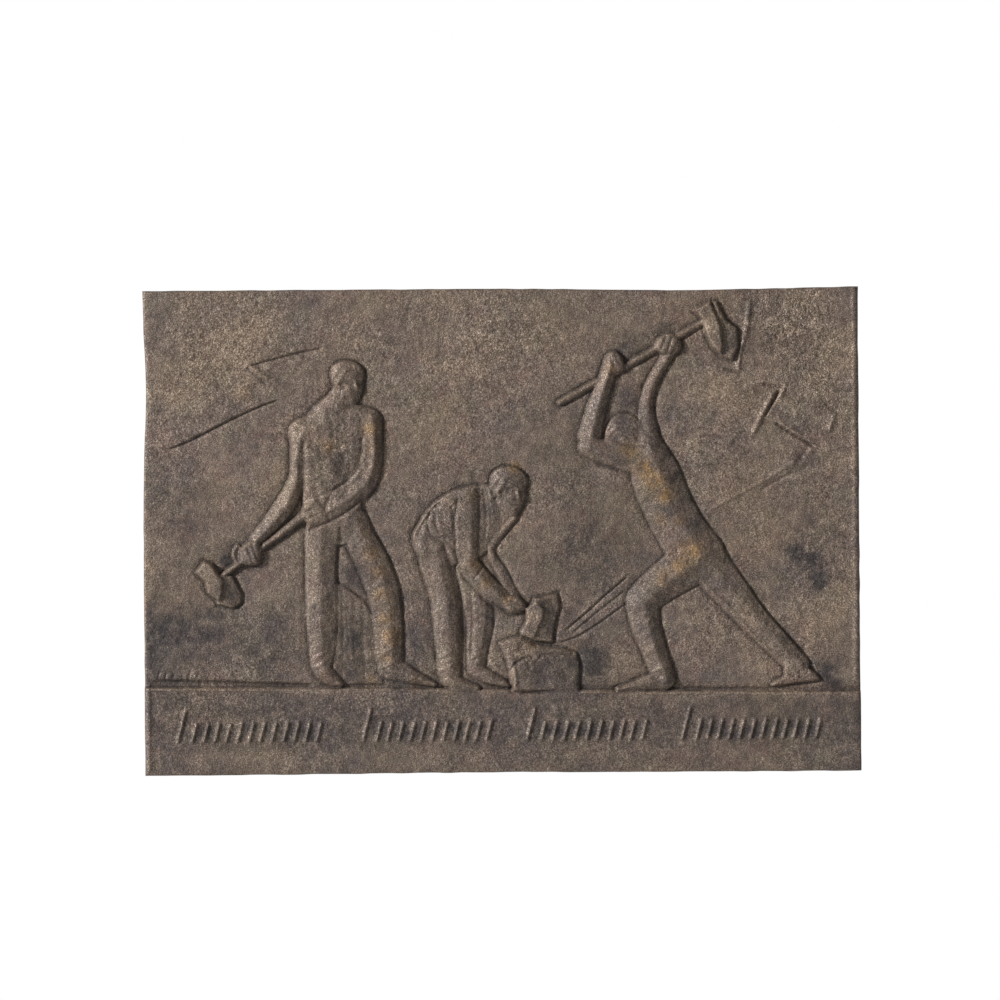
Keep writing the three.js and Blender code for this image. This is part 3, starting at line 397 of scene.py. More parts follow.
anvil = {
    "stone": slab([(-1.4, -37.4), (3.4, -35.6), (6.4, -35.4), (11, -37.8), (14.4, -38.8), (20.4, -39.2),
                   (25.2, -41), (26, -45), (25.8, -53.9), (3.2, -54), (2.2, -50), (1.6, -45), (0.4, -41)],
                  2.0, edge=0.5, soft=2.6, tilt=(-0.05, -0.02)),
    "stoneFace": slab([(2.8, -46), (5, -43.6), (8.6, -41.8), (14, -42.8), (18, -41.4), (23, -41.6),
                       (25.4, -44.6), (25.2, -54), (3.4, -54)], 2.2, edge=0.8, soft=1.6, join=0.9,
                      tilt=(-0.09, -0.03)),
    "stoneLedge": swelling([(3.2, -45, 0.9), (4.4, -49, 1.0), (3.8, -53, 0.8)], 0.5),
    "stonePitA": swelling([(12, -48, 1.4), (15, -50.4, 1.2)], -0.3),
    "stonePitB": swelling([(20, -45.8, 1.2), (22.4, -49, 1.3)], -0.35),
    "stoneCrack": swelling([(2.6, -46.8, 0.45), (4.2, -44.6, 0.55), (7, -43, 0.6), (9.6, -42.4, 0.6),
                            (11.4, -43.6, 0.6), (13.6, -41.8, 0.55), (18, -41.2, 0.5), (23.6, -41.4, 0.45)],
                           -0.85),
    "stoneHook": swelling([(9.8, -43, 0.5), (8.6, -44.6, 0.6), (9.2, -46, 0.5)], -0.6),
    "stoneChipA": swelling([(5, -40.2, 0.7), (8.4, -40.8, 0.8)], -0.45),
    "stoneChipB": swelling([(2.4, -40.4, 0.8), (5.6, -38.6, 0.8)], 0.4),
    "stoneLipA": swelling([(2.4, -37.4, 0.5), (6.4, -37.6, 0.5), (10.8, -39.4, 0.5)], 0.35),
    "stoneLipB": swelling([(9.8, -40.6, 0.5), (14.6, -40.6, 0.6), (20, -40.2, 0.5)], 0.35),
    "workSide": slab([(10.4, -22.4), (13.6, -22), (18.8, -20.9), (19.4, -25.5), (17.8, -31), (17, -37.6),
                      (10.4, -37)], 2.2, edge=0.6, soft=0.8, tilt=(-0.3, 0)),
    "workFace": slab([(7.6, -26), (11.4, -23), (14.4, -26), (14, -29.6), (12.6, -32.4), (10.8, -36.8),
                      (6.2, -35.2), (6, -33.4), (8, -30)], 3.9, edge=1.4, soft=0.9, join=0.2,
                     tilt=(0.16, -0.02)),
    "workTop": swelling([(10.8, -23.4, 0.7), (13, -24.2, 0.7)], 0.5),
}

strikingSmith = {
    "handle": limb([(20, 42.9, 1.2), (44, 56, 1.3), (68, 69.4, 1.2)], 1.8, edge=0.6, crest=0.1),
    "hammerSide": slab([(70.6, 76.6), (73, 76.6), (75.8, 70.4), (79.6, 67.6), (79.9, 61), (77.8, 56.4),
                        (73.4, 57.6), (73.4, 66)], 2.3, edge=0.5, soft=1.2, tilt=(-0.08, 0)),
    "hammerFace": slab([(64.6, 73.6), (70.6, 76.9), (74.2, 68.4), (75, 61), (74, 57.8), (70.6, 61),
                        (68.2, 66.4), (67.6, 70)], 3.9, edge=1.2, soft=1.2, join=0.3, tilt=(0.16, 0)),
    "farArm": limb([(57, 59.6, 1.9), (53.6, 54.2, 2.0), (50.6, 48.6, 2.1), (49, 42.6, 2.3), (49, 37, 2.9),
                    (49.6, 32, 3.6)], 2.1, edge=0.5, crest=0.15, fade=0.3),
    "hair": slab([(35, 29), (34.9, 33.4), (37, 37.2), (40.9, 39.2), (44.8, 38.2), (47.6, 35), (48.4, 30),
                  (46, 26), (38, 26)], 2.3, edge=0.5, soft=4.6, curved=True),
    "lockA": swelling([(36.4, 35.2, 0.5), (39.8, 37.6, 0.55), (43.6, 37.4, 0.5), (46, 35.4, 0.4)], -0.36),
    "lockB": swelling([(35.8, 32.8, 0.5), (39, 35.6, 0.55), (43.2, 35.6, 0.5), (46.2, 33, 0.4)], -0.34),
    "lockC": swelling([(36.2, 30.6, 0.5), (39.2, 33.4, 0.55), (43, 33.5, 0.5), (45.8, 31, 0.4)], -0.34),
    "lockD": swelling([(38, 29.4, 0.45), (40.4, 31.4, 0.5), (43.4, 31.2, 0.45)], -0.3),
    "farHand": slab([(51.6, 61.4), (53.6, 65), (57.6, 66), (60.6, 63.6), (60.6, 60.4), (57.4, 58.2),
                     (53.6, 58.8)], 3.3, edge=0.9, join=0.5, crease=0.2, soft=2.2, curved=True),
    "farFingerA": swelling([(53.6, 59.6, 0.45), (55.6, 64.8, 0.45)], -0.5),
    "farFingerB": swelling([(55.8, 59, 0.5), (57.6, 64.2, 0.5)], -0.6),
    "farFingerC": swelling([(58, 59.4, 0.42), (59.4, 63, 0.42)], -0.4),
    "rearLeg": limb([(69, -11.4, 7.1), (76.6, -20.7, 6.1), (84.3, -30.1, 5), (92.4, -38.6, 4.4),
                     (99, -45.6, 4)], 2.4, edge=0.45, crest=0.1),
    "rearEdge": swelling([(67.2, -17.6, 0.8), (73, -23.4, 0.9), (79, -29.8, 0.9), (85, -36.6, 0.8),
                          (91, -42.2, 0.6)], 0.6),
    "rearFoot": slab([(94.6, -45.6), (99, -43.6), (103.2, -46.6), (106.4, -49.7), (105.6, -51.1),
                      (98, -51.9), (90.4, -52.8), (90.8, -51), (94, -49.2)], 1.9, edge=0.5, soft=1.8,
                     join=0.7, curved=True),
    "rearHem": swelling([(94.8, -46.6, 0.5), (97.4, -47.2, 0.5), (98.6, -49.4, 0.45)], 0.5),
    "rearSole": swelling([(92, -51.8, 0.4), (98.6, -51, 0.45), (104.6, -50.3, 0.4)], 0.35),
    "trunk": limb([(48.6, 28.4, 5.6), (51.8, 18.6, 8.2), (55.6, 8.6, 8.4), (60.4, -0.5, 8.5),
                   (65.6, -8.5, 9.2)], 4.4, edge=0.7, crest=0.16, fade=0.4, join=1.4),
    "upperArm": limb([(29.8, 28, 3.9), (36, 26, 4.4), (43, 24.4, 5), (49, 24, 6)], 3.7, edge=0.7, join=1.8,
                     crest=-0.1),
    "forearm": limb([(37.2, 57, 2.5), (35.4, 50.6, 2.7), (33.2, 44.4, 3.1), (31.4, 38, 3.5),
                     (29.8, 31.4, 4)], 3.9, edge=0.7, join=1.2, crest=0.1),
    "nearHand": slab([(34.8, 56), (36, 59.4), (38.8, 60.2), (41.4, 57.6), (41.6, 53.8), (38.4, 52.4),
                      (35.4, 53.2)], 3.7, edge=0.9, join=0.7, soft=2.2, curved=True),
    "armLine": swelling([(34.2, 31.6, 0.45), (37.8, 30.5, 0.55), (41.5, 28.5, 0.6), (45, 27.9, 0.55),
                         (48.4, 27.8, 0.45)], -0.8),
    "nearFingerA": swelling([(36.6, 58.6, 0.42), (38.8, 53.6, 0.42)], -0.45),
    "nearFingerB": swelling([(38.4, 59, 0.42), (40.4, 54.4, 0.42)], -0.45),
    "thigh": limb([(66.4, -8.6, 8.4), (59, -14.2, 7), (51.4, -19.6, 6), (47.2, -23.6, 5.6)], 4.4, edge=0.8,
                  join=1.8, crest=0.14),
    "shin": limb([(47, -25, 5.5), (48.2, -32, 4.9), (50.8, -40, 4.3), (53.4, -47.4, 3.9), (54.2, -50, 3.8)],
                 3.9, edge=0.8, join=1.6, crest=0.12),
    "foot": limb([(54.4, -50.4, 3.2), (48.4, -51.2, 2.5), (43, -52.4, 1.6), (38.6, -53.4, 1.0)], 2.6,
                 edge=0.7, join=0.8, crest=0),
    "chest": swelling([(46.6, 20.6, 3), (50.6, 15.4, 4)], 0.45),
    "ribs": swelling([(50, 9.6, 1.4), (55.6, 10.8, 1.6), (59, 8, 1.2)], -0.3),
    "waist": swelling([(52.4, 2.2, 1.1), (57.4, 4, 1.4), (62, 2.6, 1.0)], -0.3),
    "groin": swelling([(58.6, -7, 1.0), (64.6, -4.4, 1.4), (70.6, -6, 1.2)], -0.4),
    "armpit": swelling([(45.8, 30.6, 0.9), (50.2, 29.2, 1.1)], -0.5),
    "elbowPit": swelling([(32.8, 32, 1.0), (34, 30.2, 0.9)], -0.4),
    "muscle": swelling([(38, 26.6, 2.2), (43, 25.4, 2.4)], 0.3),
    "thighFoldA": swelling([(55.6, -12.6, 0.7), (60.4, -18.4, 0.8)], 0.25),
    "thighFoldB": swelling([(47.2, -19.6, 0.7), (52.4, -23.6, 0.8)], 0.3),
    "kneeFoldA": swelling([(43.6, -27, 0.7), (49.4, -29.6, 0.8)], 0.3),
    "kneeFoldB": swelling([(48.6, -31.4, 0.5), (50.4, -28, 0.5)], 0.35),
    "shinFold": swelling([(46.4, -38.6, 0.7), (52.4, -36, 0.8)], 0.25),
    "hemFold": swelling([(49.6, -47.6, 0.6), (56.6, -45.4, 0.7)], 0.3),
    "ankle": swelling([(50.4, -49.2, 0.6), (57.6, -48.4, 0.6)], -0.3),
}

groups = [standingSmith, bendingSmith, anvil, strikingSmith]

# incised (negative) and raised lines on the ground
groundLines = [
    # slanting strokes at the upper left
    scored([(-111, 28.3, 0.4), (-104, 31, 0.5), (-90, 38, 0.5), (-80, 42.5, 0.4), (-75, 44.2, 0.35)], -0.81,
           burr=0.3),
    scored([(-84, 55.9, 0.4), (-70, 59.5, 0.5), (-60, 61.7, 0.4)], -0.68, burr=0.3),
    scored([(-85, 55.5, 0.5), (-82, 52.8, 0.5), (-78.5, 50, 0.4)], -0.54),
    scored([(-85, 56.6, 0.9), (-81.5, 54, 1.0), (-77.5, 51.3, 0.8)], 0.54),
    # rods and strokes behind the raised hammer
    scored([(83.6, 76.5, 0.8), (82.8, 68, 0.9), (80.6, 60, 0.8), (79.6, 52.8, 0.7)], 0.55),
    scored([(75, 53.8, 0.45), (81, 52, 0.45)], -0.74),
    scored([(88, 48.5, 0.45), (95, 47.4, 0.45)], -0.68),
    scored([(93.4, 46.2, 0.55), (88.4, 38, 0.5)], -1.08),
    scored([(91.4, 45.6, 0.8), (86.5, 36, 0.9), (84.5, 32, 0.6)], 0.68),
    scored([(95.6, 48.6, 0.8), (93.8, 44.6, 0.7)], 0.54),
    scored([(92, 35.7, 0.45), (98, 31.8, 0.5), (105, 27.6, 0.45)], -0.94, burr=0.52),
    scored([(100.5, 23, 1.4), (103, 26, 1.4)], -0.81),
    scored([(104.4, 27, 0.9), (101, 22.8, 0.9)], 0.54),
    scored([(99, 23, 0.8), (92, 18.5, 0.6), (84, 14, 0.6), (70, 6.5, 0.6)], 0.41),
    scored([(103, 21, 1.0), (94, 17, 0.6), (87, 13, 0.5)], -0.47),
    scored([(112, 39, 0.8), (110, 33, 0.8)], 0.47),
    scored([(109, 41.5, 0.9), (112.6, 39.4, 0.9)], -0.54),
    # sparks between the work and the striking smith
    scored([(21, -33.6, 0.4), (29, -27, 0.5), (34, -22.4, 0.45), (42, -15.6, 0.4)], -0.5, burr=0.36),
    scored([(19, -37.6, 0.4), (25, -35.6, 0.45), (32, -31.4, 0.45), (41, -25, 0.4)], -0.46, burr=0.36),
    scored([(24, -34, 0.4), (32, -27.4, 0.45), (41, -20.4, 0.4)], -0.34, burr=0.26),
    # grooves and lips along the ledge, and a low rim at both ends of the panel
    scored([(-118, -49.6, 0.6), (-94, -50.2, 0.7), (-80, -50.8, 0.7), (-64, -51.2, 0.6)], -0.8),
    scored([(6, -54.4, 0.35), (12, -53.9, 0.4), (19, -53.4, 0.35)], -0.47),
    scored([(60, -53.4, 0.45), (74, -53.6, 0.5), (90, -53.8, 0.45)], -0.5),
    scored([(24, -54.3, 0.4), (60, -54.8, 0.4), (116, -55.4, 0.4)], 0.28),
    scored([(-119, -52.3, 0.5), (-104, -52.5, 0.5), (-86, -52.7, 0.45), (-70, -52.9, 0.4)], 0.4),
    scored([(-118.5, -50, 0.6), (-118.4, -66, 0.7), (-118.5, -81, 0.7)], 0.4),
    scored([(118.5, 84, 0.8), (118.6, 50, 0.8), (118.5, 10, 0.8), (118.6, -24, 0.8), (118.4, -52, 0.8)],
           0.35),
]

panel = {
    # in millimetres, the width and the height from the frame
    "width": round(2 * plaqueHigh[0] / mm, 2), "height": round(2 * plaqueHigh[2] / mm, 2),
    "groundDepth": 5.2, "rim": 0.8,
    # the grid's pitch, and how far around the carving it is divided once and twice
    "coarse": 1.6, "fineReaches": (1.2, 0.62),
    # the ledge: its top in the middle, its fall to the right, its step, and the hollow that runs along it
    "ledgeTop": -53.1, "ledgeFall": 0.0125, "ledgeRise": 1.0, "ledgeEdge": 0.9, "ledgeHollow": 0.45,
    "hollowAt": 0.8, "hollowReach": 0.7,
    # the figures: how much of the drawn height shows, how wide their edge is, and how low they reach
    "relief": 0.64, "figureEdge": 0.35, "belowLedge": -1.5,
    # the heads are smoother than the rest: where each one is, and its size
    "heads": [((-51.3, 49.9), 15.2), ((2.4, 13.4), 16.6), ((41.6, 33), 13.4)], "headSmooth": 0.7,
    # each bow of an edge: how far in, its middle and its reach
    "leftBow": (1.1, 48, 22), "topBow": (0.95, 63, 42), "lowBow": (0.35, 0, 70),
    # uneven surfaces, each with its height, size and seed
    "groundHills": [(0.30, 46, 2), (0.14, 17, 3), (0.07, 7, 5)], "ledgeHills": [(0.10, 24, 8)],
    "lumps": [(0.15, 5.4, 11), (0.15, 2.5, 12), (0.06, 1.2, 13)],
    "grooveHills": [(0.14, 5, 31)], "sideHills": 0.12,
    # the groove around every figure, and the wide shallow dent that it lies in
    "groove": 0.32, "grooveAt": 0.25, "grooveReach": 0.4, "dent": 0.12, "dentReach": 2.6,
    # the rim turns over into the side, and the side runs back to the flat back: out, and towards the back
    "edgeSteps": [(0.35, 0.1), (0.65, 0.35), (0.8, 0.8), (0.8, 2.4), (0.8, 4.2), (0.7, 5.0), (0.2, 5.2),
                  (-1.5, 5.2)],
}


def hills(rows, x, z):
    # the sum of uneven surfaces
    return sum(height * unevenness(x, z, size, seed) for height, size, seed in rows)


def aboveLedge(x, z):
    return z - (panel["ledgeTop"] - panel["ledgeFall"] * x)


def bowed(x, z):
    # the cast edges bow inwards a little
    u, v = x / (panel["width"] / 2), z / (panel["height"] / 2)
    left, top, low = [inward * bell((along - middle) / reach) * np.where(share > 0, share ** 4, 0)
                      for (inward, middle, reach), along, share in (
                          (panel["leftBow"], z, -u), (panel["topBow"], x, v), (panel["lowBow"], x, -v))]
    return x + left, z - top + low


# strokes on the ledge: four runs of slanting bars that never touch, the first of each run taller
ledgeStrokes = {
    "foot": -70.2, "height": 6.8, "tall": 11.0, "halfWidth": 0.5, "rise": 0.7, "lean": 0.26,
    # the pitch grows after the first bar, and the pitch and the height vary a little
    "pitch": 3.7, "firstPitch": 1.25, "pitchVaries": (0.95, 1.05), "heightVaries": (0.92, 1.0),
    # where each run starts and stops
    "runs": [(-109, -58), (-47, -2.5), (8, 51), (60, 108)],
}

# a few plain ticks at the foot of the left edge: where each stands, and how tall it is
tickFoot = -48.6
edgeTicks = [scored([(x, tickFoot, 0.32), (x + 0.5, tickFoot + rise, 0.32)], -0.35) for x, rise in (
    (-115.5, 2.2), (-113.2, 1.5), (-110.6, 1.9), (-107.4, 1.5), (-105.2, 2.0), (-102.4, 1.4))]


def strokeMarks():
    marks = []
    seed = np.random.default_rng(4)
    foot, half, lean = ledgeStrokes["foot"], ledgeStrokes["halfWidth"], ledgeStrokes["lean"]
    for start, stop in ledgeStrokes["runs"]:
        x, height = start, ledgeStrokes["tall"]
        while x + height * lean < stop:
            marks.append([(x, foot, half), (x + height * lean, foot + height, half)])
            wider = ledgeStrokes["firstPitch"] if x == start else 1
            x += ledgeStrokes["pitch"] * seed.uniform(*ledgeStrokes["pitchVaries"]) * wider
            height = ledgeStrokes["height"] * seed.uniform(*ledgeStrokes["heightVaries"])
    return [scored(mark, ledgeStrokes["rise"]) for mark in marks]


def strokeHeights(marks, x, z):
    added = np.zeros(x.shape)
    for item in marks:
        near = within(item["points"], farOff["strokeReach"], x, z)
        height = item["form"](x[near], z[near])
        added[near] = np.where(np.abs(height) > np.abs(added[near]), height, added[near])
    return added


def reliefHeights(x, z, marks):
    # heights over the panel, and the distance to the nearest figure
    above = aboveLedge(x, z)
    top = hills(panel["groundHills"], x, z) * ease(0.5 + above / 2) + hills(panel["ledgeHills"], x, z)
    top -= panel["ledgeHollow"] * bell((above - panel["hollowAt"]) / panel["hollowReach"])
    top += panel["ledgeRise"] * ease(0.5 - above / panel["ledgeEdge"])
    nearestGap = np.full(x.shape, farOff["gap"])
    groove = panel["groove"] + hills(panel["grooveHills"], x, z)
    lumps = hills(panel["lumps"], x, z)
    for at, size in panel["heads"]:
        lumps *= 1 - panel["headSmooth"] * bell(np.hypot(x - at[0], z - at[1]) / (0.62 * size))
    for group in groups:
        raised, gap = groupHeights(list(group.values()), x, z)
        outside = np.maximum(gap, 0)
        top -= (groove * bell((outside - panel["grooveAt"]) / panel["grooveReach"])
                + panel["dent"] * bell(outside / panel["dentReach"]))
        cover = np.clip(-gap / panel["figureEdge"], 0, 1)
        raised = raised * panel["relief"] + lumps
        covered = (raised > farOff["bare"]) & (above > panel["belowLedge"])
        top = np.where(covered, np.maximum(top, top + (raised - top) * cover), top)
        nearestGap = np.minimum(nearestGap, gap)
    for item in groundLines + edgeTicks:
        near = within(item["points"], farOff["lineReach"], x, z)
        top[near] += item["form"](x[near], z[near])
    top += strokeHeights(marks, x, z)
    return top, nearestGap


def pickFaces(mesh, chosen):
    # selects the faces whose middles pass a test on arrays of x and z
    bm = bmesh.from_edit_mesh(mesh)
    bm.faces.ensure_lookup_table()
    middles = np.array([f.calc_center_median()[:] for f in bm.faces]) / mm
    picked = chosen(middles[:, 0], middles[:, 2])
    for f, pick in zip(bm.faces, picked):
        f.select_set(bool(pick))
    bm.select_flush_mode()
    bmesh.update_edit_mesh(mesh)
    return int(picked.sum())


def fineCarving(reach):
    def chosen(x, z):
        wanted = np.abs(aboveLedge(x, z)) < 0.9 + reach
        for group in groups:
            for item in group.values():
                if "form" not in item:
                    continue
                near = within(item["points"], reach, x, z)
                wanted[near] |= item["form"](x[near], z[near])[1] < reach
        for item in groundLines + edgeTicks + marks:
            near = within(item["points"], reach, x, z)
            wanted[near] |= nearestOn(centreLine(item["points"]), x[near], z[near])[1] < reach * 0.8
        return wanted
    return chosen


# the relief mesh: a grid, divided twice where the carving is fine, then raised
marks = strokeMarks()
bpy.ops.object.select_all(action="DESELECT")
columns = round(panel["width"] / panel["coarse"])
rows = round(panel["height"] / panel["coarse"])
bpy.ops.mesh.primitive_grid_add(x_subdivisions=columns, y_subdivisions=rows, size=1,
                                rotation=(math.pi / 2, 0, 0))
plaque = bpy.context.object
plaque.name = "reliefPlaque"
rim = panel["rim"]
plaque.scale = ((panel["width"] - 2 * rim) * mm, (panel["height"] - 2 * rim) * mm, 1)
bpy.ops.object.transform_apply(location=True, rotation=True, scale=True)

bpy.ops.object.mode_set(mode="EDIT")
bpy.ops.mesh.select_mode(type="FACE")
for reach in panel["fineReaches"]:
    count = pickFaces(plaque.data, fineCarving(reach))
    bpy.ops.mesh.subdivide(number_cuts=1, ngon=False)
    print("divided", count, "faces")

bpy.ops.mesh.select_all(action="DESELECT")
bm = bmesh.from_edit_mesh(plaque.data)
for edge in bm.edges:
    edge.select_set(edge.is_boundary)
bmesh.update_edit_mesh(plaque.data)
bpy.ops.mesh.select_mode(type="EDGE")
frontCount = len(bm.verts)
outward, depth = 0, 0
for stepOut, stepBack in panel["edgeSteps"]:
    bpy.ops.mesh.extrude_edges_move(TRANSFORM_OT_translate={"value": (0, (stepBack - depth) * mm, 0)})
    grow = [1 + 2 * (stepOut - outward) / (size - 2 * rim + 2 * outward)
            for size in (panel["width"], panel["height"])]
    bpy.ops.transform.resize(value=(grow[0], 1, grow[1]), center_override=(0, 0, 0))
    outward, depth = stepOut, stepBack
bpy.ops.mesh.edge_face_add()
bpy.ops.mesh.select_all(action="SELECT")
bpy.ops.mesh.normals_make_consistent(inside=False)
bpy.ops.object.mode_set(mode="OBJECT")

mesh = plaque.data
places = np.empty(len(mesh.vertices) * 3)
mesh.vertices.foreach_get("co", places)
places = places.reshape(-1, 3) / mm
x, z = bowed(places[:, 0], places[:, 2])
front = np.arange(len(places)) < frontCount
top, gap = reliefHeights(x, z, marks)
share = np.clip(1 - places[:, 1] / panel["groundDepth"], 0, 1)
y = np.where(front, -(panel["groundDepth"] + top), -(panel["groundDepth"] + top) * share)
side = (share > 0.1) & (share < 0.98) & ~front
onSide = [np.abs(places[:, axis]) > panel[name] / 2 - 0.9 for axis, name in ((0, "width"), (2, "height"))]
x += side * panel["sideHills"] * unevenness(z, x, 5, 21) * onSide[0]
z += side * panel["sideHills"] * unevenness(x, z, 5, 22) * onSide[1]
mesh.vertices.foreach_set("co", (np.column_stack([x, y, z]) * mm).ravel())
mesh.update()
print("relief vertices", len(mesh.vertices), "triangles", sum(len(p.vertices) - 2 for p in mesh.polygons))

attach(plaque, "root")
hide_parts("plaque")

bpy.ops.object.select_all(action="DESELECT")
plaque.select_set(True)
bpy.context.view_layer.objects.active = plaque
bpy.ops.object.shade_smooth()


def raster(values, x, z, pitch=0.5):
    # the height map on an even raster, by nearest vertex, with holes filled from their neighbours
    columns, rows = int(panel["width"] / pitch) + 1, int(panel["height"] / pitch) + 1
    i = np.clip(((x + panel["width"] / 2) / pitch).round().astype(int), 0, columns - 1)
    j = np.clip(((z + panel["height"] / 2) / pitch).round().astype(int), 0, rows - 1)
    total, count = np.zeros((columns, rows)), np.zeros((columns, rows))
    np.add.at(total, (i, j), values)
    np.add.at(count, (i, j), 1)
    while (count == 0).any():
        sums, weights = [sum(np.pad(grid, 1, mode="edge")[1 + a:columns + 1 + a, 1 + b:rows + 1 + b]
                             for a in (-1, 0, 1) for b in (-1, 0, 1)) for grid in (total, count)]
        total, count = np.where(count == 0, sums, total), np.where(count == 0, weights, count)
    return total / count, i, j


def softened(field, steps):
    # a map blurred by a bell of the given spread, in steps of the raster
    reach = int(steps * 3) + 1
    kernel = bell(np.arange(-reach, reach + 1) / (steps * 1.414))
    kernel /= kernel.sum()
    for axis in (0, 1):
        wide = np.pad(field, [(reach, reach) if a == axis else (0, 0) for a in (0, 1)], mode="edge")
        field = np.apply_along_axis(lambda row: np.convolve(row, kernel, mode="valid"), axis, wide)
    return field


